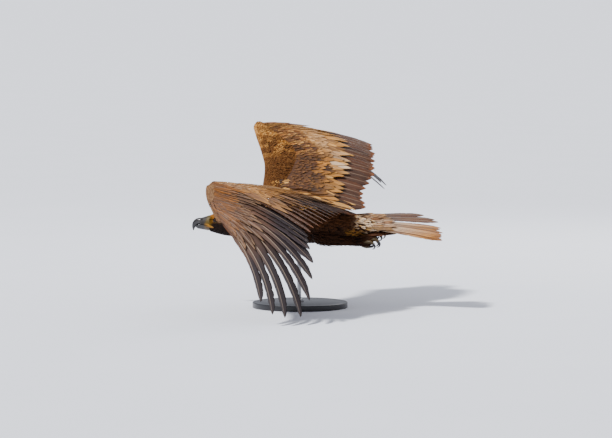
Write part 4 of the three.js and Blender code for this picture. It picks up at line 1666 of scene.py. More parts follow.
ARM_ROOTS = ((58, 56, 66), (56, 100, 86), (48, 150, 116), (62, 196, 146), (112, 232, 166), (160, 262, 180),
             (196, 284, 188))
ARM_UPS = ((-0.08, -0.42, 0.9), (-0.1, -0.4, 0.91), (-0.12, -0.34, 0.93), (-0.15, -0.22, 0.96),
           (-0.19, -0.02, 0.98))
HAND_ROOTS = ((206, 300, 178), (190, 335, 146), (154, 378, 106))
HAND_UPS = ((-0.17, 0.1, 0.97), (-0.1, 0.35, 0.93), (0, 0.56, 0.82), (0.03, 0.64, 0.77))
TIPS = {
    "left": {
        "arm": ((-200, 38, 30), (-184, 90, 50), (-190, 152, 80), (-182, 208, 97), (-168, 266, 103),
                (-152, 330, 104), (-128, 392, 103)),
        "hand": ((-126, 418, 95), (-131, 435, 85), (-140, 452, 68), (-156, 478, 36), (-166, 530, 4),
                 (-167, 572, -46), (-147, 600, -92), (-106, 632, -84), (-70, 640, -74), (-27, 612, -48)),
    },
    "right": {
        "arm": ((-204, 38, 30), (-186, 88, 52), (-200, 150, 80), (-194, 204, 98), (-184, 262, 107),
                (-170, 322, 113), (-152, 378, 117)),
        "hand": ((-146, 400, 107), (-143, 420, 88), (-141, 440, 61), (-140, 462, 28), (-134, 500, -18),
                 (-153, 560, -104), (-150, 600, -106), (-126, 628, -108), (-85, 636, -98), (-35, 610, -70)),
    },
}

ARM_FANS = {name: Shafts(ARM_ROOTS, tips["arm"], ARM_UPS, (0.02, 0.02), (0.7, 1), swell=-0.35, roll=0.45)
            for name, tips in TIPS.items()}
HAND_FANS = {name: Shafts(HAND_ROOTS, tips["hand"], HAND_UPS, (0.02, 0.05, 0.1, 0.07), (0.2, 0), swell=0.4)
             for name, tips in TIPS.items()}

SECONDARIES = Tier(18, (0, 0), 1, (0, 0), (45, 45), Pattern.SECONDARY, (0.34, 0.34), Outline.BROAD,
                   uneven=0.03, stray=0.01)
PRIMARIES = Tier(10, (0, 0), 1, (0, 0), (46, 38), Pattern.PRIMARY, (0.36, 0.28), Outline.BROAD,
                 uneven=0.0, stray=0.0)
ARM_TIERS = {
    "greater_coverts": (
        Tier(20, (0.02, 0.02), 0.72, (9, 9), (36, 31), Pattern.GREATER, (0.42, 0.42)),
        Tier(22, (0.02, 0.02), 0.62, (10, 11), (32, 27), Pattern.GREATER, (0.42, 0.42)),
    ),
    "median_coverts": (
        Tier(28, (0.2, 0.2), 0.5, (10, 14), (26, 22), Pattern.MEDIAN),
        Tier(32, (0.15, 0.15), 0.42, (11, 15), (23, 19), Pattern.MEDIAN),
        Tier(38, (0.1, 0.1), 0.35, (10, 16), (20, 16), Pattern.MEDIAN, stray=0.05),
        Tier(44, (0.06, 0.08), 0.29, (10, 16.5), (18, 14), Pattern.LESSER, stray=0.06),
        Tier(50, (0.02, 0.05), 0.23, (9, 17), (15, 12), Pattern.LESSER, stray=0.07),
        Tier(54, (-0.03, 0.02), 0.18, (7, 17), (14, 11), Pattern.LESSER, stray=0.08),
        Tier(58, (-0.07, 0), 0.13, (5, 17), (13, 10), Pattern.LESSER, stray=0.08),
        Tier(62, (-0.11, -0.02), 0.09, (3, 16), (12, 9.5), Pattern.LESSER, stray=0.08),
        Tier(62, (-0.15, -0.04), 0.05, (0, 14), (12, 9), Pattern.LESSER, stray=0.08),
    ),
    "under_coverts": (
        Tier(18, (0.02, 0.02), 0.52, (-6, -5), (36, 30), Pattern.UNDER, (0.42, 0.42)),
        Tier(24, (-0.02, 0), 0.38, (-8, -7), (30, 26), Pattern.UNDER),
        Tier(28, (-0.06, 0), 0.26, (-10, -10), (25, 22), Pattern.UNDER),
    ),
}
HAND_TIERS = {
    "primary_coverts": (
        Tier(13, (0.01, 0.01), 0.42, (7, 9), (21, 17), Pattern.PRIMARY_COVERT, (0.45, 0.3), uneven=0.06),
        Tier(16, (0.0, 0.0), 0.34, (8, 10), (18, 14), Pattern.PRIMARY_COVERT, (0.45, 0.4), uneven=0.06),
        Tier(20, (0.06, 0.06), 0.27, (9, 11.5), (15, 12), Pattern.HAND_LESSER),
        Tier(24, (0.03, 0.03), 0.21, (9, 12), (13, 10), Pattern.HAND_LESSER),
        Tier(28, (0.0, 0.0), 0.15, (8, 12), (11, 9), Pattern.HAND_LESSER),
        Tier(32, (-0.03, -0.03), 0.1, (6, 11), (10, 8), Pattern.HAND_LESSER),
    ),
    "under_primary_coverts": (
        Tier(10, (0.01, 0.01), 0.34, (-4, -4), (26, 20), Pattern.UNDER, (0.45, 0.4)),
        Tier(13, (0.0, 0.0), 0.2, (-6, -7), (22, 17), Pattern.UNDER),
    ),
}


WRIST_TIERS = (
    Tier(8, (0.04, 0.04), 0.46, (5, 5), (24, 24), Pattern.PRIMARY_COVERT),
    Tier(9, (0.02, 0.02), 0.34, (7, 7), (20, 20), Pattern.HAND_LESSER),
    Tier(10, (0.0, 0.0), 0.24, (8, 8), (15, 15), Pattern.HAND_LESSER),
    Tier(11, (-0.03, -0.03), 0.15, (8, 8), (12, 12), Pattern.HAND_LESSER),
)


@dataclass
class Vanes:
    """Points on a row's feathers with what varies from feather to feather, for their colouring.

    Each pattern's method takes the plumage's colours and gives the ground of every point, and how
    pale the shaft is there as a share.

    Attributes:
        v: Each point's place across its vane, from -1 to 1.
        u: Its place along the shaft, from 0 to 1.
        t: Its feather's place in the row, from 0 to 1.
        wild: A random number of its feather.
        wild2: Another one.
        broad: A broad pattern at its feather.
        fine: A fine pattern there.
        small: Ground and edge of a small covert there.
        warm: Painted light: 1 gives the row the tawny colours of a wing in warm sunlight, 0 the greyer ones
            of a wing in other light.
        rim: How near its vane's rim the point lies.
        core: How near its vane's middle.
        mottle: A mottling from feather to feather.
    """

    v: Array
    u: Array
    t: Array
    wild: Array
    wild2: Array
    broad: Array
    fine: Array
    small: tuple[Array, Array]
    warm: float

    def __post_init__(self) -> None:
        """Work out rim, core and mottle."""
        across = np.abs(self.v)
        self.rim = np.clip(step(0.55, 1.0, across) + step(0.72, 1.0, self.u), 0, 1)
        self.core = step(0.6, 0.1, across) * step(1.0, 0.7, self.u)
        self.mottle = step(0.35, 0.65, 0.55 * self.broad + 0.45 * self.wild)

    def colour(self, pattern: Pattern) -> Array:
        """Give every point's linear colour.

        Args:
            pattern: The row's colouring.

        Returns:
            The colours, with the pale shafts on them.
        """
        ground, shaft = getattr(self, pattern.value)(PLUMAGE)
        ground = ground * (0.72 + 0.5 * self.wild2)[:, None]
        return blend(ground, PLUMAGE.shaft, (np.abs(self.v) < SHAFT_HALF) * shaft)

    def secondary(self, p: Plumage) -> tuple[Array, float]:
        """Give a secondary's ground, faintly barred, and how pale its shaft is."""
        base = layer(p.chocolate, (blend(p.mauve, p.bark, 0.3 + 0.7 * self.warm), 0.1 + 0.4 * self.wild),
                     (p.mauve, 0.5 * step(0.3, 0.05, self.t) * (1 - self.warm)))
        bars = 0.5 + 0.5 * np.sin(self.u * 52 + 7 * self.wild2 + 2.5 * np.abs(self.v))
        # The rear vane darkened towards its rim: painted shade where the next feather overlaps it.
        return layer(base * (0.9 + 0.14 * bars)[:, None], (p.black_brown, 0.5 * step(-0.3, -0.9, self.v)),
                     (p.rufous, step(0.93, 1.0, self.u) * 0.8)), 0.35

    def primary(self, p: Plumage) -> tuple[Array, Array]:
        """Give a primary's ground, slate beyond its middle, and how pale its shaft is."""
        dark = step(0.36, 0.62, self.u + 0.06 * (self.wild - 0.5) - 0.1 * (self.v > 0))
        # The rear vane darkened towards its rim: painted shade where the next feather overlaps it.
        return layer(blend(p.mauve, p.chocolate, 0.4), (p.slate, dark),
                     (p.black_brown, 0.3 * step(-0.3, -0.9, self.v) + 0.15 * dark)
                     ), mix(0.85, 0.4, step(0.5, 1, self.u))

    def greater(self, p: Plumage) -> tuple[Array, float]:
        """Give a greater covert's ground, white-tipped in two places, and how pale its shaft is."""
        t, warm = self.t, self.warm
        white = np.exp(-(((t - 0.5) / 0.026) ** 2)) + np.exp(-(((t - 0.37) / 0.026) ** 2))
        white = 0.85 * np.clip(white, 0, 1) * step(0.4, 0.7, self.u) * warm * step(1.1, 0.4, np.abs(self.v))
        return layer(p.mauve, (blend(p.gold, p.bark, 0.7 * self.mottle), warm),
                     (p.chocolate, 0.6 * self.core * self.wild2),
                     (p.buff, self.rim * (0.05 + 0.85 * warm * self.wild2)),
                     (p.chocolate, 0.8 * step(0.28, 0.05, t) * (self.wild > 0.3)),
                     (p.cream, white)), 0.15 + 0.15 * warm

    def lesser(self, p: Plumage) -> tuple[Array, float]:
        """Give a lesser covert's ground, as the small coverts round it."""
        return blend(*self.small, self.rim), 0.0

    def median(self, p: Plumage) -> tuple[Array, float]:
        """Give a median covert's ground, mottled and pale-edged."""
        t, warm = self.t, self.warm
        dark = np.clip(self.mottle * mix(1, 0.35, step(0.35, 0.6, t)) + 0.8 * step(0.42, 0.1, t), 0, 1)
        dark = dark * (0.15 + 0.85 * warm)
        light = blend(p.gold, p.buff, 0.7 * step(0.35, 0.6, t) * warm)
        bar = step(0.35, 0.6, t) * (0.4 + 0.6 * self.wild2)
        return layer(p.tawny, (light, 0.3 + 0.7 * self.wild2), (p.umber, dark), (p.mauve, 0.35 * (1 - warm)),
                     (p.chocolate, 0.65 * self.core * self.wild2),
                     (blend(p.gold, p.cream, 0.55 * bar * warm),
                      self.rim * (0.28 + 0.52 * warm - 0.5 * warm * dark))), 0.0

    def primary_covert(self, p: Plumage) -> tuple[Array, float]:
        """Give a primary covert's ground and how pale its shaft is."""
        return layer(p.mauve, (p.slate, 0.25 * self.core + 0.2 * self.wild), (p.buff, 0.15 * self.rim)), 0.8

    def hand_lesser(self, p: Plumage) -> tuple[Array, float]:
        """Give the ground of a small covert of the hand and how pale its shaft is."""
        warm = self.warm
        bend = (1 - warm) * step(0.45, 0.1, self.t) * (0.4 + 0.6 * self.wild)
        return layer(p.mauve, (p.tawny, np.clip(0.7 * self.wild - 0.35 + 0.6 * warm + bend, 0, 1)),
                     (p.umber, 0.3 * self.core * warm), (p.gold, self.rim * (0.1 + 0.4 * warm))), 0.7

    def tail(self, p: Plumage) -> tuple[Array, float]:
        """Give a tail feather's ground, cream with brown lines, and how pale its shaft is."""
        u, v = self.u, self.v
        upper = step(0.7, 0.8, self.t)
        lines = 0.5 + 0.5 * np.sin(8 * v + 6 * self.wild + 1.2 * np.sin(6 * u + 5 * self.wild2))
        pale = blend(p.cream, p.gold, np.clip(1.6 * u - 0.5 + 0.3 * self.wild, 0, 1))
        most = mix(0.35, 0.95, step(0.1, 0.5, u)) * (1 - 0.85 * upper)
        return layer(p.mauve, (p.bark, step(0.4, 0.8, u)), (p.slate, 0.8 * upper),
                     (pale, step(0.3, 0.75, lines) * most),
                     (p.bark, 0.8 * step(0.45, 0.2, lines) * step(0.4, 0.7, u)),
                     (p.chocolate, 0.6 * step(-0.5, -0.9, v)),
                     (p.rufous, step(0.88, 1.0, u) * 0.6 * (1 - upper))), 0.6

    def tail_covert(self, p: Plumage) -> tuple[Array, float]:
        """Give a tail covert's ground, whitish at the tail's middle."""
        lit = step(0.12, 0.3, self.t) * step(0.85, 0.65, self.t)
        return layer(p.mauve, (blend(p.tawny, p.cream, self.wild2), 0.2 + 0.8 * lit),
                     (p.bark, 0.8 * step(0.36, 0.1, np.abs(self.v)) * (self.wild > 0.3)),
                     (p.buff, 0.5 * self.rim * (1 - lit))), 0.0

    def scapular(self, p: Plumage) -> tuple[Array, float]:
        """Give a shoulder feather's ground, dark or buff."""
        dark = step(0.42, 0.58, 0.5 * self.fine + 0.5 * self.wild)
        return layer(p.gold, (p.buff, 0.3 + 0.7 * self.wild2), (p.black_brown, 0.95 * dark),
                     (p.chocolate, 0.5 * self.core * self.wild2),
                     (blend(p.buff, p.rufous, dark), 0.5 * self.rim),
                     (p.umber, 0.85 * step(0.55, 0.8, self.t) * (1 - self.warm))), 0.0

    def under(self, p: Plumage) -> tuple[Array, float]:
        """Give the ground of a covert of the lower side."""
        return layer(p.umber, (p.bark, 0.7 * self.wild), (p.rufous, 0.4 * self.rim)), 0.0


ALULA = Tier(4, (0, 0), 1, (2, 4), (22, 20), Pattern.PRIMARY_COVERT, (0.4, 0.4))
ALULA_FAN = Shafts(((214, 304, 166), (207, 312, 163), (200, 320, 161)),
                   ((140, 392, 92), (122, 384, 112), (116, 372, 130)), ((0, 0.56, 0.82),) * 2)
DECK = ((-190, 26, 34, 52), (-170, 32, 40, 58), (-112, 46, 52, 70), (-58, 56, 62, 80), (-6, 63, 70, 87),
        (40, 62, 70, 86), (90, 58, 65, 80), (128, 46, 52, 64), (160, 30, 36, 44))
SHOULDER_ROWS = 14
INNER_PRIMARIES = 4
@dataclass
class Wing:
    """One wing's large feathers.

    Attributes:
        name: left or right.
        side: 1 on the left, -1 on the right.
        finishes: The finishes.
        seed: Seed of its variation.
        light_warmth: Painted light: 1 gives the wing the tawny colours it shows in warm sunlight, 0 the
            greyer ones it shows in other light; both wings' own plumage is alike.
        arch: How far the flight feathers bow upwards, as a share of their length.
        rng: Source of its variation.
    """

    name: str
    side: int
    finishes: Finishes
    seed: int
    # Painted light: 1 paints the wing tawny as in warm sunlight, lower values greyer as in other light.
    light_warmth: float = 1.0
    arch: float = 0.045

    def __post_init__(self) -> None:
        """Start the random draws, which run on from piece to piece."""
        self.rng = np.random.default_rng(self.seed)

    def tier(self, surface: Surface, spec: Tier, shafts: Shafts, strip: tuple[int, int]) -> None:
        """Add one row of feathers to a surface.

        Args:
            surface: What they are added to.
            spec: The row.
            shafts: The lines that the row follows.
            strip: First strip on the bake map and number of strips.
        """
        n, rng, large = spec.count, self.rng, spec.large
        t = np.array(spec.seats) if spec.seats else np.linspace(0, 1, n)
        lean = LEAN * (1 - 2 * t) if shafts.centred else np.full(n, LEAN if large else LEAN / 2)
        if spec.small:
            t = np.clip(t + rng.normal(0, 0.22 / n, n), 0, 1)
        up, root, tip = unit(smooth(shafts.ups, t)), smooth(shafts.roots, t), smooth(shafts.tips, t)
        end = spec.stop * (1 + spec.uneven * (rng.random(n) - 0.5)) + spec.small * 0.012 * rng.normal(0, 1, n)
        begin = mix(*spec.start, t)
        rows = FLIGHT_ROWS if large else COVERT_ROWS
        u = begin[:, None] + (end - begin)[:, None] * rows[None]
        spine = shaft_path(root, tip, up, smooth(shafts.sweep, t), u, self.arch)
        joint = step(*shafts.joint, t)
        ride = mix(*spec.lift, rows)[None] * (1 + joint * shafts.swell)[:, None]
        spine = spine + up[:, None] * ride[..., None]
        drift = unit(np.cross(tip - root, up)) * rng.normal(0, spec.stray, n)[:, None]
        reach = np.linalg.norm(spine[:, -1] - spine[:, 0], axis=-1)
        spine = spine + drift[:, None] * (reach[:, None] * rows[None] ** 1.5)[..., None]
        along = spine[:, -1] - spine[:, 0]
        side = unit(np.cross(along, up))
        facing = unit(np.cross(side, along))
        tilt = lean + rng.normal(0, 0.015, n) - shafts.roll * joint * (not large)
        across = side * np.cos(tilt)[:, None] + facing * np.sin(tilt)[:, None]
        normal = unit(np.cross(across, along))
        blunt = (0.88 if spec.pattern is Pattern.PRIMARY else 0.8) if large else 0.52
        batch = Feathers(mirror(spine, self.side), mirror(across, self.side), mirror(normal, self.side),
                         mix(*spec.width, t * t), mix(*spec.fore, t * t), spec.outline, rows,
                         FLIGHT_COLUMNS if large else COVERT_COLUMNS, blunt=blunt, camber=0.1,
                         depth=1.2 if large else 0.8, shaft=0.8 if large else 0.3,
                         ragged=0.2 if large else 0.3)
        noise = rng.random((n, 2))
        place = mirror(spine[:, 5], self.side)
        broad, fine = blotches(place, BROAD), blotches(place, FINE)
        small = PLUMAGE.limb(place, np.ones(n), noise[:, 0], self.light_warmth)

        def tint(v: Array, u: Array, k: Array) -> Array:
            """Colour points at places across and along the feathers with numbers k."""
            return Vanes(v, u, t[k], noise[k, 0], noise[k, 1], broad[k], fine[k],
                         (small[0][k], small[1][k]), self.light_warmth).colour(spec.pattern)

        first, total = strip
        bake = np.stack([(first + np.arange(n) + 0.5) / total, np.full(n, 0.5)], -1)
        block = len(surface.faces)
        batch.build(surface, tint, bake, (0.9 / total, 0.96), rng)
        if self.side < 0:
            surface.faces[block] = surface.faces[block][:, ::-1]

    def rows(self, name: str, rows: Sequence[tuple[Tier, Shafts]], finish: Material,
             nodes: Sequence[str] = (), slot: str = "wing_plumage", room: int = 0) -> None:
        """Make one piece of several rows of feathers.

        Args:
            name: The piece's name.
            rows: Each row with the lines that it follows.
            finish: The feathers' finish.
            nodes: The nodes it stands for.
            slot: Its material slot.
            room: Strips kept for each row on the bake map, if not as many as it has feathers.
        """
        surface = Surface(name)
        rooms = [room or spec.count for spec, _ in rows]
        for k, (spec, shafts) in enumerate(rows):
            self.tier(surface, spec, shafts, (sum(rooms[:k]), sum(rooms)))
        dress(surface.build(finish), nodes, slot)

    def build(self) -> None:
        """Make the wing's pieces: flight feathers, and the coverts of arm and hand."""
        arm, hand = ARM_FANS[self.name], HAND_FANS[self.name]
        flight, covert = self.finishes.flight, self.finishes.covert
        stem = f"wing_{self.name}"
        self.rows(f"{stem}_secondaries", [(SECONDARIES, arm)], flight, [f"{stem}_arm"], "flight_plumage")
        primaries = []
        for k, t in enumerate(np.linspace(0, 1, PRIMARIES.count)):
            outline = Outline.BROAD if k < INNER_PRIMARIES else Outline.FINGER
            primaries.append((replace(PRIMARIES, count=1, seats=(float(t),), outline=outline), hand))
        self.rows(f"{stem}_primaries", primaries, flight, [f"{stem}_hand"], "flight_plumage")
        for tiers, shafts in ((ARM_TIERS, arm), (HAND_TIERS, hand)):
            for label, specs in tiers.items():
                self.rows(f"{stem}_{label}", [(spec, shafts) for spec in specs], covert)
        bend = Shafts((arm.roots[-1], hand.roots[0]), (arm.tips[-1], hand.tips[0]),
                      (arm.ups[-1], hand.ups[0]), arm.sweep)
        self.rows(f"{stem}_wrist_coverts", [(spec, bend) for spec in WRIST_TIERS], covert, room=11)
        self.rows(f"{stem}_alula", [(ALULA, ALULA_FAN)], covert)
        self.rows(f"{stem}_scapulars", self.scapulars(), covert)

    @staticmethod
    def scapulars() -> list[tuple[Tier, Shafts]]:
        """Give the rows of shoulder feathers that lie over the wing's root and the back.

        Returns:
            Each row with the lines that it follows.
        """
        rows = []
        for k in range(SHOULDER_ROWS):
            ends = []
            for x, sink in ((-52.0 + 13.5 * k, 8), (-170.0 + 20 * k, 0)):
                heights = read_at(DECK, np.array([x]))[0] - sink
                ends.append([(x + lag, y, z) for lag, y, z
                             in zip((0, 2, 18), (8, 44, 84 - 1.2 * k), heights)])
            half = 20 - 0.6 * k
            spec = Tier(12, (0, 0), 1, (0, 1), (half, half), Pattern.SCAPULAR, (0.5, 0.5),
                        stray=0.08, uneven=0.22)
            rows.append((spec, Shafts(ends[0], ends[1], ((0, -0.1, 1), (0, -0.3, 0.95)))))
        return rows


TAIL_FAN = Shafts(
    ((-206, 17, -17), (-208, 6, -13), (-206, -8, -11), (-192, -24, -9), (-176, -40, -6)),
    ((-462, 46, -30), (-463, 26, -26), (-458, 6, -24), (-450, -26, -23), (-440, -56, -21), (-420, -86, -16),
     (-374, -115, -12)),
    ((0, 0.14, 1), (0, 0, 1), (0, -0.14, 1)), centred=True)
TAIL_TIERS = {
    "rectrices": Tier(12, (0, 0), 1, (0, 0), (36, 36), Pattern.TAIL, (0.42, 0.42), Outline.TAIL, uneven=0.05,
                      seats=(0, 0.06, 0.12, 0.19, 0.26, 0.34, 0.42, 0.5, 0.57, 0.8, 0.87, 1), stray=0.012),
    "upper_coverts": Tier(18, (-0.04, -0.04), 0.4, (3, 5), (26, 26), Pattern.TAIL_COVERT, (0.5, 0.5)),
    "short_coverts": Tier(18, (-0.1, -0.1), 0.26, (4, 8), (24, 24), Pattern.TAIL_COVERT, (0.5, 0.5)),
    "rump_coverts": Tier(16, (-0.2, -0.2), 0.12, (4, 9), (24, 24), Pattern.TAIL_COVERT, (0.5, 0.5)),
    "under_coverts": Tier(12, (0, 0), 0.45, (-24, -10), (34, 34), Pattern.UNDER, (0.5, 0.5)),
    "vent_coverts": Tier(12, (-0.1, -0.1), 0.24, (-34, -22), (34, 34), Pattern.UNDER, (0.5, 0.5)),
}
@dataclass
class Tail(Wing):
    """The tail: flight feathers in a fan that opens further on the right, and their coverts."""

    arch: float = 0.015

    def build(self) -> None:
        """Make the tail's pieces."""
        for label, spec in TAIL_TIERS.items():
            whole = label == "rectrices"
            finish = self.finishes.flight if whole else self.finishes.covert
            self.rows(f"tail_{label}", [(spec, TAIL_FAN)], finish, ["tail"], "tail_plumage")


# Head


@dataclass
class Face:
    """Bill, cere, gape, eyes and lids, in the level head's frame.

    Attributes:
        body: The form of the head.
        finishes: The finishes.
        mouth: Height of the mouth's line along the head.
        cere: Crown and half width of the cere along the head.
        lower: Keel and half width of the lower bill.
        upper: Middle line of the hooked upper bill with its half height and half width.
        nostril: Middle of the left nostril along and up.
        gape_upper: Line of the gape's upper lip on the left.
        gape_lower: Line of its lower lip.
        eyeball: Radius of the eye.
    """

    body: BodyForm
    finishes: Finishes
    mouth: tuple = ((46, -9), (61, -6.5), (75, -9), (86, -14))
    cere: tuple = ((46, 21.5, 17.5), (58, 16.6, 14), (69, 13, 11))
    lower: tuple = ((46, -25.5, 16.5), (62, -24, 11.5), (78, -22, 7.5), (86, -17.5, 3))
    upper: tuple = ((65, 2.6, 9.6, 10.2), (72, 2.2, 10.5, 10.2), (80, -0.1, 10.2, 8.4), (87.5, -6.8, 8.8, 6),
                    (91.5, -17, 5.6, 3.4), (91.5, -29, 1.2, 0.9))
    nostril: tuple[float, float] = (64.5, 7.5)
    gape_upper: tuple = ((58, 12.6, -4.6), (50, 16.0, -5.2), (42, 19.0, -6.2), (33, 23.2, -8.4),
                         (24, 27.2, -11.2), (17, 29.4, -13))
    gape_lower: tuple = ((58, 11.8, -10.2), (50, 15.2, -10.8), (42, 18.2, -11.6), (33, 22.2, -12.6),
                         (25, 26.2, -13.4), (18, 28.8, -14.2))
    eyeball: float = 8.4

    def arch(self, x: Array, base: Array, crown: Array, half: Array, sides: int) -> Array:
        """Give half rings from the mouth's line to a crown or keel, squared off a little.

        Args:
            x: Place of each ring along the level head.
            base: Height of the mouth's line.
            crown: Height of the crown or keel.
            half: Half width.
            sides: Points in a ring.

        Returns:
            Points as rings x sides x 3.
        """
        a = np.linspace(0, math.pi, sides)
        c, s = np.cos(a), np.sin(a)
        return np.stack([np.repeat(x[:, None], sides, 1),
                         half[:, None] * np.sign(c) * np.abs(c) ** 0.9,
                         base[:, None] + (crown - base)[:, None] * s], -1)

    def build(self) -> None:
        """Make every piece of the face."""
        self.upper_bill()
        self.lower_bill()
        self.cere_piece()
        self.gape()
        for name, side in SIDES:
            self.eye(name, side)

    def upper_bill(self) -> None:
        """Make the hooked upper bill."""
        t = np.linspace(0, 1, 40)
        x, z, high, wide = np.moveaxis(smooth(self.upper, t), -1, 0)
        run = unit(np.stack([np.gradient(x), np.gradient(z)], -1))
        run[0] = (1, 0)
        sides = 36
        a = turns(sides)
        lift = high[:, None] * np.sin(a)
        squeeze = 1 - 0.18 * np.maximum(0, -np.sin(a)) * step(0.15, 0.5, t)[:, None]
        rings = np.stack([x[:, None] - run[:, 1:] * lift, wide[:, None] * squeeze * np.cos(a),
                          z[:, None] + run[:, :1] * lift], -1)
        colour = blend(paint(50, 45, 44), paint(20, 18, 20), step(0.1, 0.75, capped(t, sides)))
        solid("bill_upper_horn", tube(POSE.level(rings)), colour, self.finishes.horn, ["bill_upper"], "bill")

    def lower_bill(self) -> None:
        """Make the lower bill."""
        x = np.linspace(32, 86, 34)
        inner = np.maximum(x, 46)
        keel, half = np.moveaxis(read_at(self.lower, inner), -1, 0)
        base = read_at(self.mouth, inner)[:, 0] - 0.5
        rings = self.arch(x, base, keel, half * 0.96, 25)
        colour = blend(paint(86, 64, 22), paint(36, 33, 34), step(46, 58, capped(x, 25, 32, 86)))
        solid("bill_lower_horn", tube(POSE.level(rings)), colour, self.finishes.horn, ["bill_lower"], "bill")

    def cere_piece(self) -> None:
        """Make the waxy cere with its two nostrils."""
        x = np.linspace(34, 70.5, 44)
        crown, half = np.moveaxis(read_at(self.cere, np.clip(x, 46, 69)), -1, 0)
        base = read_at(self.mouth, np.clip(x, 46, 69))[:, 0]
        ease = (1 - 0.5 * step(67.5, 70.5, x)) * (1 + 0.012 * np.clip(46 - x, 0, 10))
        rings = self.arch(x, base, base + (crown - base) * ease, half * ease, 49)
        middle = np.array([self.nostril[0], 0, self.nostril[1]])
        off = (rings - middle) / np.array([3.1, 1, 1.7])
        hole = np.exp(-((off[..., 0] ** 2 + off[..., 2] ** 2) ** 2))
        rings[..., 1] -= np.sign(rings[..., 1]) * 2.6 * hole * (np.abs(rings[..., 1]) > 4)
        low = capped(step(0, -6, rings[..., 2]), last=0)
        fore = capped(step(45, 56, rings[..., 0] + 0.25 * rings[..., 2]))
        # The nostrils painted near black: painted shade inside their openings.
        dark = np.clip(capped(hole, last=0) * 1.4, 0, 1)
        colour = layer(paint(92, 74, 12), (paint(134, 96, 0), low), (paint(48, 43, 40), fore),
                       (paint(16, 13, 12), dark))
        solid("cere_skin", tube(POSE.level(rings)), colour, self.finishes.cere, ["cere"], "cere")

    def gape(self) -> None:
        """Make the fleshy yellow gape on both sides of the face."""
        surface = Surface("gape_skin")
        count, sides = 60, 16
        t, a = np.linspace(0, 1, count), turns(sides)
        swell = np.sin(math.pi * np.clip(t * 0.94 + 0.04, 0, 1)) ** 0.7 * mix(0.5, 1, step(0, 0.6, t))
        along = capped(t, sides)
        lips = ((self.gape_upper, 2.8, paint(164, 118, 0)), (self.gape_lower, 2.1, paint(132, 90, 0)))
        for _, side in SIDES:
            for line, high, hue in lips:
                rings = smooth(line, t)[:, None] + np.stack(
                    [np.zeros((count, sides)), 1.3 * swell[:, None] * np.cos(a),
                     high * swell[:, None] * np.sin(a)], -1)
                colour = layer(paint(60, 52, 36), (hue, step(0.0, 0.5, along)),
                               (paint(96, 62, 20), step(0.75, 1.0, along)))
                surface.add(*tube(POSE.level(mirror(rings, side))), colour)
        dress(surface.build(self.finishes.cere, maps=False), [], "cere")

    def eye(self, name: str, side: int) -> None:
        """Make one eye with its lid.

        Args:
            name: left or right.
            side: 1 on the left, -1 on the right.
        """
        a = turns(40)
        centre = mirror(np.array(self.body.eye), side)
        out = unit(np.array([0.16, side, 0.02]))
        fore = unit(np.cross(out, [0, 0, 1.0]))
        up = np.cross(fore, out)
        around = np.cos(a)[:, None, None] * fore + np.sin(a)[:, None, None] * up
        tilt = np.linspace(0.02, math.pi - 0.02, 36)
        rings = (centre + self.eyeball * (np.cos(tilt)[:, None, None] * out
                                          + np.sin(tilt)[:, None, None] * np.moveaxis(around, 1, 0)))
        polar = capped(tilt, len(a), 0, math.pi)
        colour = layer(paint(6, 5, 5), (paint(66, 36, 15), step(0.36, 0.41, polar)),
                       (paint(20, 12, 8), step(0.6, 0.72, polar)))
        solid(f"eye_{name}_ball", tube(POSE.level(rings)), colour, self.finishes.eye, [f"eye_{name}"], "eye")
        b = turns(10)
        above = np.maximum(0, np.sin(a + 0.25))[:, None]
        middle = 6.9 - 1.5 * above
        ring = middle + (0.95 + 1.5 * above) * np.cos(b)[None, :]
        lift = np.sqrt(self.eyeball**2 - middle**2) + 0.3 + (0.8 + 0.4 * above) * np.sin(b)[None, :]
        points = POSE.level(centre + around * ring[..., None] + out * lift[..., None]).reshape(-1, 3)
        faces = self.ring_faces(len(a), len(b))
        first, second, third = points[faces[0, :3]]
        inside = POSE.level(centre + around[0] * middle[0] + out * lift[0].mean())[0]
        if np.dot(np.cross(second - first, third - first), first - inside) < 0:
            faces = faces[:, ::-1]
        colour = blend(paint(30, 20, 13), paint(120, 102, 70), np.repeat(step(0.3, -0.5, np.sin(a)), len(b)))
        solid(f"eye_{name}_lid", (points, faces), colour, self.finishes.lid, [], "cere")

    @staticmethod
    def ring_faces(rows: int, columns: int) -> Array:
        """Give the faces of a grid of points that closes both ways.

        Args:
            rows: Rows of points.
            columns: Points in a row.

        Returns:
            Four corner numbers for each face.
        """
        r, c = np.meshgrid(np.arange(rows), np.arange(columns), indexing="ij")
        r, r2, c2 = r * columns, (r + 1) % rows * columns, (c + 1) % columns
        return np.stack([r + c, r + c2, r2 + c2, r2 + c], -1).reshape(-1, 4)


# Feet


TOES = {
    "inner": (((-206, 30, -60, 6), (-223, 27, -54, 6), (-240, 25, -49, 5.4), (-252, 24.5, -54, 4.4)),
              ((-253, 24.4, -57, 4), (-258, 24, -64, 3.4), (-255, 24, -72, 2.2), (-247, 24, -76, 0.5))),
    "middle": (((-206, 36, -60, 6), (-226, 37, -52, 6), (-247, 38, -47, 5.4), (-261, 38.5, -52, 4.4)),
               ((-262, 38.6, -55, 4), (-266, 39, -61, 3.2), (-263, 39, -69, 2), (-256, 39, -73, 0.5))),
    "outer": (((-206, 42, -61, 5.6), (-222, 47, -55, 5.6), (-237, 51, -52, 5), (-248, 52.5, -56, 4.2)),
              ((-249, 52.6, -59, 3.8), (-253, 53, -65, 3), (-250, 53, -72, 1.9), (-244, 53, -75, 0.5))),
    "rear": (((-205, 35, -66, 6), (-212, 34, -72, 5.8), (-221, 33, -75, 5.2), (-230, 32.5, -75, 4.4)),
             ((-233, 32.4, -75, 4.2), (-241, 32, -73, 3.6), (-246, 32, -67, 2.4), (-247, 32, -61, 0.5))),
}
SCUTE = {"Count": 12.0, "Width": 0.0098, "Length": 0.0052, "Thickness": 0.0026}
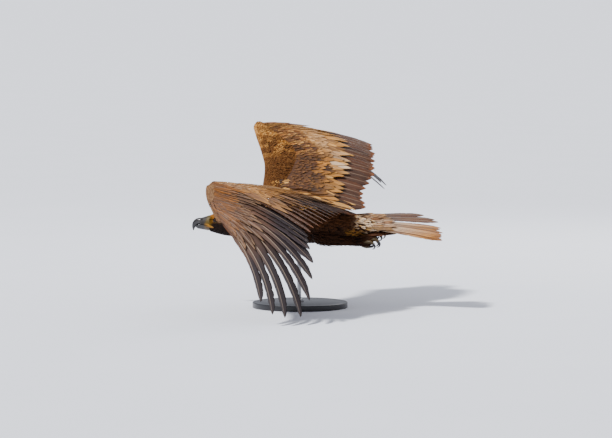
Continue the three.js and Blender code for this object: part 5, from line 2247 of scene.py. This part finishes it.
PALM = ((-200, 34, -61, 9.5), (-209, 35, -62, 11), (-215, 36, -62, 9), (-220, 36, -61, 5))


def limb_tube(stations: tuple, rows: int, sides: int, side: int, swell: float = 0.0) -> tuple[Array, Array]:
    """Make a round length along stations of place and radius.

    Args:
        stations: Place and radius along it.
        rows: Rings.
        sides: Points in a ring.
        side: 1 on the left, -1 on the right.
        swell: Depth of the joints' swelling, as a share of the radius.

    Returns:
        Points and faces.
    """
    t = np.linspace(0, 1, rows)
    values = smooth(stations, t)
    middle, radius = values[:, :3], values[:, 3] * (1 + swell * np.sin(t * math.pi * 5) ** 2)
    run = unit(np.gradient(middle, axis=0))
    high = unit(np.cross(run, [0.0, 1.0, 0.0]))
    across = np.cross(high, run)
    a = turns(sides)
    rings = middle[:, None] + radius[:, None, None] * (
        across[:, None] * np.cos(a)[None, :, None] + high[:, None] * np.sin(a)[None, :, None])
    return tube(mirror(rings, side))


def scute_tree(material: Material) -> bpy.types.NodeTree:
    """Build the Geometry Nodes tree that lays scutes along the top of a toe's line.

    Args:
        material: The scutes' finish.

    Returns:
        The tree, with its sizes as named inputs.
    """
    tree = bpy.data.node_groups.new("scutes", "GeometryNodeTree")
    tree.interface.new_socket("Line", in_out="INPUT", socket_type="NodeSocketGeometry")
    for label, value in SCUTE.items():
        tree.interface.new_socket(label, in_out="INPUT", socket_type="NodeSocketFloat").default_value = value
    tree.interface.new_socket("Scutes", in_out="OUTPUT", socket_type="NodeSocketGeometry")
    hand = Nodes(tree)
    source = hand.add("NodeGroupInput").outputs
    curve = hand.add("GeometryNodeMeshToCurve", {0: source["Line"]}).outputs[0]
    upright = hand.add("GeometryNodeSetCurveNormal", {0: curve}, mode="Z_UP").outputs[0]
    seats = hand.add("GeometryNodeCurveToPoints", {0: upright, "Count": source["Count"]},
                     mode="COUNT").outputs
    ball = hand.add("GeometryNodeMeshUVSphere", {"Segments": 10, "Rings": 6, "Radius": 0.5}).outputs[0]
    share = hand.maths("DIVIDE", hand.add("GeometryNodeInputIndex").outputs[0], source["Count"])
    size = hand.add("ShaderNodeCombineXYZ", {0: source["Width"], 1: source["Thickness"], 2: source["Length"]})
    shrink = hand.minus(1.0, hand.times(share, 0.25))
    scale = hand.add("ShaderNodeVectorMath", {0: size.outputs[0], "Scale": shrink}, operation="SCALE")
    placed = hand.add("GeometryNodeInstanceOnPoints", {
        "Points": seats["Points"], "Instance": ball, "Rotation": seats["Rotation"],
        "Scale": scale.outputs[0]}).outputs[0]
    whole = hand.add("GeometryNodeRealizeInstances", {0: placed}).outputs[0]
    shade = hand.add("GeometryNodeSetShadeSmooth", {0: whole}).outputs[0]
    dressed = hand.add("GeometryNodeSetMaterial", {0: shade, "Material": material}).outputs[0]
    hand.fill(hand.add("NodeGroupOutput"), {0: dressed})
    return tree


@dataclass
class Feet:
    """Both feet with their toes, scutes and claws.

    Attributes:
        finishes: The finishes.
        yellow: The toes' colour, their own yellow darkened as painted shade under the body.
    """

    finishes: Finishes
    # A dusky yellow: the toes' own yellow darkened as painted shade, on toes and scutes alike.
    yellow: Array = field(default_factory=lambda: paint(72, 54, 22))

    def build(self) -> None:
        """Make every piece of the feet."""
        scutes = scute_tree(self.finishes.toe)
        for name, side in SIDES:
            foot = Surface(f"leg_{name}_toes")
            foot.add(*limb_tube(PALM, 14, 20, side), self.yellow)
            for label, (toe, claw) in TOES.items():
                foot.add(*limb_tube(toe, 30, 16, side, 0.07), self.yellow)
                rows, sides = 26, 14
                shape = limb_tube(((*toe[-1][:3], toe[-1][3] - 0.4), *claw), rows, sides, side)
                along = capped(np.linspace(0, 1, rows), sides)
                colour = blend(paint(70, 62, 60), paint(24, 21, 23), step(0.0, 0.35, along))
                solid(f"leg_{name}_talon_{label}", shape, colour, self.finishes.claw,
                      [f"leg_{name}_claw_{label}"], "claw")
            dress(foot.build(self.finishes.toe, maps=False), [f"leg_{name}_foot"], "toe")
            self.scutes(name, side, scutes)

    def scutes(self, name: str, side: int, tree: bpy.types.NodeTree) -> None:
        """Make the scutes along the tops of one foot's toes.

        Args:
            name: left or right.
            side: 1 on the left, -1 on the right.
            tree: The Geometry Nodes tree that lays them.
        """
        parts = []
        for toe, _ in TOES.values():
            values = smooth(toe, np.linspace(0.12, 1, 30))
            run = unit(np.gradient(values[:, :3], axis=0))
            high = unit(np.cross(run, [0.0, 1.0, 0.0]))
            high = high * np.where(high[:, 2:] < 0, -1, 1)
            parts.append(mirror(values[:, :3] + high * (values[:, 3:] - 0.6), side) * MM)
        mesh = bpy.data.meshes.new("scute_lines")
        count = len(parts[0])
        edges = [(k * count + i, k * count + i + 1) for k in range(len(parts)) for i in range(count - 1)]
        mesh.from_pydata([tuple(p) for part in parts for p in part], edges, [])
        lines = put("scute_lines", mesh)
        modifier = lines.modifiers.new("scutes", "NODES")
        modifier.node_group = tree
        for item in tree.interface.items_tree:
            if item.name in SCUTE:
                modifier[item.identifier] = SCUTE[item.name]
        made = evaluated(lines, f"leg_{name}_scutes")
        made.vertices.foreach_set("co", POSE.place(read_points(made) / MM).astype(np.float32).ravel())
        tint_points(made, self.yellow * 1.05)
        dress(put(made.name, made), [], "toe")


# Stand


@dataclass
class Stand:
    """The round base and its rod.

    Attributes:
        finishes: The finishes.
        radius: Radius of the base, in mm.
        thickness: Thickness of the base, in mm.
        rod: Radius of the rod, in mm.
        place: Where the rod stands on the base, in mm.
        top: How high the rod reaches into the belly, in mm.
    """

    finishes: Finishes
    radius: float = 150.0
    thickness: float = 18.0
    rod: float = 6.5
    place: tuple[float, float] = (-6.0, 14.0)
    top: float = 215.0

    def lathe(self, name: str, profile: Sequence[tuple[float, float]], centre: tuple[float, float],
              colour: Array, material: Material, node: str) -> None:
        """Turn a profile round an upright axis into a closed piece.

        Args:
            name: The piece's name.
            profile: Radius and height along the outline, from the bottom up.
            centre: Where the axis stands.
            colour: Its colour.
            material: Its finish.
            node: The node that it stands for.
        """
        a = turns(96)
        rings = np.array([[(centre[0] + r * math.cos(t), centre[1] + r * math.sin(t), z) for t in a]
                          for r, z in profile])
        points, faces = tube(rings)
        surface = Surface(name)
        surface.add(points * MM, faces, colour)
        piece = surface.build(material, placed=True, maps=False)
        piece.data.set_sharp_from_angle(angle=math.radians(38))
        dress(piece, [node], node)

    def build(self) -> None:
        """Make the base and the rod with its collar."""
        r, h = self.radius, self.thickness
        bevel = [(r - 3 + 3 * math.sin(k * math.pi / 16), h - 3 + 3 * math.cos(k * math.pi / 16))
                 for k in range(8, -1, -1)]
        base = [(r - 1, 0), (r, 1), *bevel, (r - 16, h), (r - 18, h - 0.6), (r - 20, h), (1, h)]
        self.lathe("stand_base_turned", base, (0, 0), paint(40, 40, 43), self.finishes.base, "stand_base")
        z = h + 0.3
        rod = [(15, z), (15, z + 5.5), (14.4, z + 6.6), (13.2, z + 7), (8, z + 7), (self.rod, z + 8.2),
               (self.rod, self.top)]
        self.lathe("stand_rod_turned", rod, self.place, paint(176, 176, 178), self.finishes.rod, "stand_rod")


# Studio


@dataclass
class Studio:
    """Floor, light and camera.

    Attributes:
        azimuth: The camera's angle round the bird, in degrees.
        elevation: Its angle over the horizon.
        distance: How far off it stands, in metres.
        scale: Metres across one pixel of the photograph at the bird.
        size: The photograph's size.
        anchor: The pixel where the trunk's middle lies.
        reach: Radius of the floor, in metres.
    """

    azimuth: float = 13.0
    elevation: float = 4.0
    distance: float = 10.0
    scale: float = 0.00315
    size: tuple[int, int] = (612, 438)
    anchor: tuple[float, float] = (300.0, 215.0)
    reach: float = 3000.0

    def build(self) -> None:
        """Make the floor, the lights and the camera."""
        self.camera()
        self.floor()
        self.lights()

    def camera(self) -> None:
        """Make the camera at the photograph's angle and framing."""
        a, e = math.radians(self.azimuth), math.radians(self.elevation)
        back = Vector((math.sin(a) * math.cos(e), -math.cos(a) * math.cos(e), math.sin(e)))
        right = Vector((math.cos(a), math.sin(a), 0))
        up = back.cross(right)
        off_x = (self.size[0] / 2 - self.anchor[0]) * self.scale
        off_y = (self.size[1] / 2 - self.anchor[1]) * self.scale
        target = Vector((0, 0, POSE.height * MM)) + right * off_x - up * off_y
        data = bpy.data.cameras.new("camera")
        data.sensor_width = 36.0
        data.lens = data.sensor_width * self.distance / (self.size[0] * self.scale)
        data.clip_start, data.clip_end = 0.1, 2 * self.reach
        camera = put("camera", data)
        camera.location = target + back * self.distance
        camera.rotation_mode = "QUATERNION"
        camera.rotation_quaternion = (-back).to_track_quat("-Z", "Y")
        bpy.context.scene.camera = camera

    def floor(self) -> None:
        """Make a plain pale floor."""
        mesh = bpy.data.meshes.new("floor")
        sides = 64
        ring = [(self.reach * math.cos(a), self.reach * math.sin(a), 0) for a in turns(sides)]
        mesh.from_pydata(ring, [], [list(range(sides))])
        material = bpy.data.materials.new("pale_floor")
        material.use_nodes = True
        hand = Nodes(material.node_tree)
        place = hand.add("ShaderNodeTexCoord").outputs["Object"]
        noise = hand.add("ShaderNodeTexNoise", {"Vector": place, "Scale": 2.0, "Detail": 3.0}).outputs[0]
        low, high = (*paint(232, 235, 243, 1, 1), 1), (*paint(238, 240, 247, 1, 1), 1)
        hand.fill(material.node_tree.nodes["Principled BSDF"],
                  {"Base Color": hand.tint(noise, low, high), "Roughness": 0.9})
        mesh.materials.append(material)
        put("floor", mesh)

    def lights(self) -> None:
        """Make a key light from the upper left, a rim light from behind and a pale surrounding."""
        world = bpy.data.worlds.new("pale_room")
        world.use_nodes = True
        hand = Nodes(world.node_tree)
        seen = hand.add("ShaderNodeLightPath").outputs["Is Camera Ray"]
        hand.fill(world.node_tree.nodes["Background"], {0: (*paint(226, 230, 243, 1, 1), 1),
                                                        1: hand.plus(0.7, hand.times(seen, 2.1))})
        bpy.context.scene.world = world
        for name, kind, place, aim, width, power in (
            ("key", "SUN", (-2.4, -3.0, 4.8), (0, 0, 0.35), 0.1, 5.6),
            ("rim", "AREA", (1.0, 3.2, 2.6), (0, 0, 0.3), 1.8, 50.0),
        ):
            data = bpy.data.lights.new(name, kind)
            data.energy = power
            if kind == "SUN":
                data.angle = width
            else:
                data.size = width
            lamp = put(name, data)
            lamp.location = place
            lamp.rotation_mode = "QUATERNION"
            lamp.rotation_quaternion = (Vector(aim) - Vector(place)).to_track_quat("-Z", "Y")


# The whole bird


WRIST_PATCHES = (
    Patch("coat_wrist", (208, 290, 170), (42, 38, 42), (236, 150, 230), 17, depth=3.6, aspect=3.0),
    Patch("coat_hand_end", (156, 374, 104), (26, 26, 26), (220, 330, 160), 12, depth=2.0, aspect=2.4),
)
SHOULDER_PATCH = Patch("coat_shoulder", (90, 52, 44), (62, 34, 34), (800, 10, 0), 24, share=0.3, depth=4.5)


@dataclass
class Eagle:
    """The bird: skin, coat, wings, tail, face and feet.

    Attributes:
        finishes: The finishes.
        body: The form of trunk, neck and head.
        under: How deep the skin lies under each limb's outer surface, in mm.
        light_warmths: Painted light for each wing: 1 gives it the tawny colours it shows in warm sunlight, 0
            the greyer ones it shows in other light; both wings' own plumage is alike.
        fit: How near the skin a root has to lie, in metres.
        limbs: The forms of each side's limbs.
        skin: The fused skin, once it is built.
        tree: Its faces, sorted for search.
    """

    finishes: Finishes
    body: BodyForm = field(default_factory=BodyForm)
    under: dict[str, float] = field(default_factory=lambda: dict(arm=5.0, hand=2.5, thigh=5.0, tarsus=3.0))
    # Painted light: the left wing painted greyer and the right tawny, as light falls on each.
    light_warmths: dict[str, float] = field(default_factory=lambda: dict(left=0.3, right=1.0))
    fit: float = 0.0042

    def __post_init__(self) -> None:
        """Shape the limbs of both sides."""
        self.limbs = {side: dict(arm=LimbForm(side=side, **ARM), hand=LimbForm(side=side, **HAND),
                                 thigh=LegForm(THIGH, side), tarsus=LegForm(TARSUS, side))
                      for _, side in SIDES}

    def build(self) -> None:
        """Make the whole bird."""
        forms = [(self.body, 5.0)]
        forms += [(form, self.under[label]) for limbs in self.limbs.values() for label, form in limbs.items()]
        self.skin = Skin(forms).build(self.finishes.skin)
        self.tree = BVHTree.FromObject(self.skin, bpy.context.evaluated_depsgraph_get())
        legs = [f"leg_{name}_{part}" for name, _ in SIDES for part in ("thigh", "tarsus")]
        dress(self.skin, ["torso", "neck", "head", *legs], "body_plumage")
        self.coat_body()
        for name, side in SIDES:
            self.coat_wing(name, side)
            self.coat_leg(name, side)
            Wing(name, side, self.finishes, 60 + side, self.light_warmths[name]).build()
        Tail("tail", 1, self.finishes, 77).build()
        Face(self.body, self.finishes).build()
        Feet(self.finishes).build()

    def outside(self, root: Array, s: Array, a: Array) -> Array:
        """Say which roots lie on the fused skin and not inside it."""
        return np.array([self.tree.find_nearest(Vector(p))[3] < self.fit for p in POSE.place(root)])

    def seen(self, root: Array, s: Array, a: Array) -> Array:
        """Leave out roots far under a wing's large coverts too."""
        return self.outside(root, s, a) & (np.abs(a - math.pi) > 0.29 * math.pi)

    def clear(self, root: Array, s: Array, a: Array) -> Array:
        """Leave out the eyes, the gape and the bill's base too.

        Args:
            root: Roots in the bird's frame.
            s: Their places along the body.
            a: Their angles round it.

        Returns:
            True for each one that stays.
        """
        near = POSE.unlevel(root)
        near[:, 1] = np.abs(near[:, 1])
        eye = np.linalg.norm(near - (np.array(self.body.eye) + np.array([1.6, 0, 0.4])), axis=-1)
        lips = smooth(np.add(Face.gape_upper, Face.gape_lower) / 2, np.linspace(0, 1, 24))
        gape = np.linalg.norm(near[:, None] - lips, axis=-1).min(-1)
        return self.outside(root, s, a) & (eye > 10.8) & (s < 0.986) & (gape > 4.2)

    def body_length(self, s: Array, a: Array) -> Array:
        """Give lengths that shrink from the belly to the face."""
        return np.interp(self.body.reach(s), [-250, -120, 60, 150, 190, 225, 250, 275, 300],
                         [34, 34, 32, 30, 26, 20, 14, 10, 6])

    @staticmethod
    def covert_length(s: Array, a: Array, size: float) -> Array:
        """Give lengths that shrink towards a limb's front edge."""
        return size * (0.6 + 0.4 * np.sin(np.minimum(a, TURN - a) / 2))

    @staticmethod
    def leg_length(s: Array, a: Array, size: float) -> Array:
        """Give lengths that grow towards a leg's lower end."""
        return size * (1 + 0.9 * step(0.4, 1, s))

    @staticmethod
    def body_colour(root: Array, a: Array, noise: Array) -> tuple[Array, Array]:
        """Colour the feathers of trunk, neck and head."""
        return PLUMAGE.body(root, noise)

    @staticmethod
    def limb_colour(root: Array, a: Array, noise: Array, warm: float) -> tuple[Array, Array]:
        """Colour the small coverts of arm and hand."""
        return PLUMAGE.limb(root, step(-0.5, 0.1, np.sin(a)), noise, warm)

    @staticmethod
    def leg_colour(root: Array, a: Array, noise: Array) -> tuple[Array, Array]:
        """Colour the leg feathers."""
        return PLUMAGE.leg(noise)

    def coat_body(self) -> None:
        """Make the coats of trunk and neck, and of the head."""
        material = self.finishes.contour
        Coat("coat_body", self.body, self.body_length, stop=self.body.place_of(190), depth=5, tilt=0.07,
             aspect=2.2, stray=0.16, seed=11).build(material, "body_plumage", self.clear, self.body_colour)
        Coat("coat_head", self.body, self.body_length, start=self.body.place_of(188), stop=0.998, depth=2.2,
             tilt=0.04, aspect=3.2, outline=Outline.HACKLE, root_shade=0.8, seed=12
             ).build(material, "crown_plumage", self.clear, self.body_colour)

    def coat_wing(self, name: str, side: int) -> None:
        """Make the coats of one wing's arm and hand, and the patches round its joints.

        Args:
            name: left or right.
            side: 1 on the left, -1 on the right.
        """
        material = self.finishes.contour
        colour = partial(self.limb_colour, warm=self.light_warmths[name])
        for label, size in (("arm", 18), ("hand", 13)):
            Coat(f"coat_{label}_{name}", self.limbs[side][label], partial(self.covert_length, size=size),
                 depth=self.under[label], chordwise=True, tilt=0.05, seed=20 + size + side
                 ).build(material, "wing_plumage", self.seen, colour)
        for k, patch in enumerate(WRIST_PATCHES):
            patch.build(side, self.skin, self.tree, material, "wing_plumage", colour, 90 + 2 * k + side)
        SHOULDER_PATCH.build(side, self.skin, self.tree, material, "body_plumage", self.body_colour,
                             90 + 2 * len(WRIST_PATCHES) + side)

    def coat_leg(self, name: str, side: int) -> None:
        """Make the coats of one thigh, tarsus and foot.

        Args:
            name: left or right.
            side: 1 on the left, -1 on the right.
        """
        material = self.finishes.contour
        for label, size in (("thigh", 34), ("tarsus", 20)):
            Coat(f"coat_{label}_{name}", self.limbs[side][label], partial(self.leg_length, size=size),
                 depth=3.0, head_first=False, aspect=3.0, outline=Outline.HACKLE, seed=40 + size + side,
                 tilt=0.16).build(material, "body_plumage", self.outside, self.leg_colour)
        Coat(f"coat_foot_{name}", LegForm(SLEEVE, side), lambda s, a: 30 - 8 * s, start=0.02, stop=0.6,
             depth=0.0, head_first=False, aspect=3.2, outline=Outline.HACKLE, seed=70 + side, tilt=0.06
             ).build(material, "body_plumage", lambda root, s, a: s < 0.6, self.leg_colour)


def main() -> None:
    """Build the bird, its stand and the studio."""
    logging.basicConfig(level=logging.INFO, format="%(name)s: %(message)s")
    barb_group()
    mottle_group()
    finishes = Finishes()
    Eagle(finishes).build()
    Stand(finishes).build()
    Studio().build()


if __name__ == "__main__":
    main()
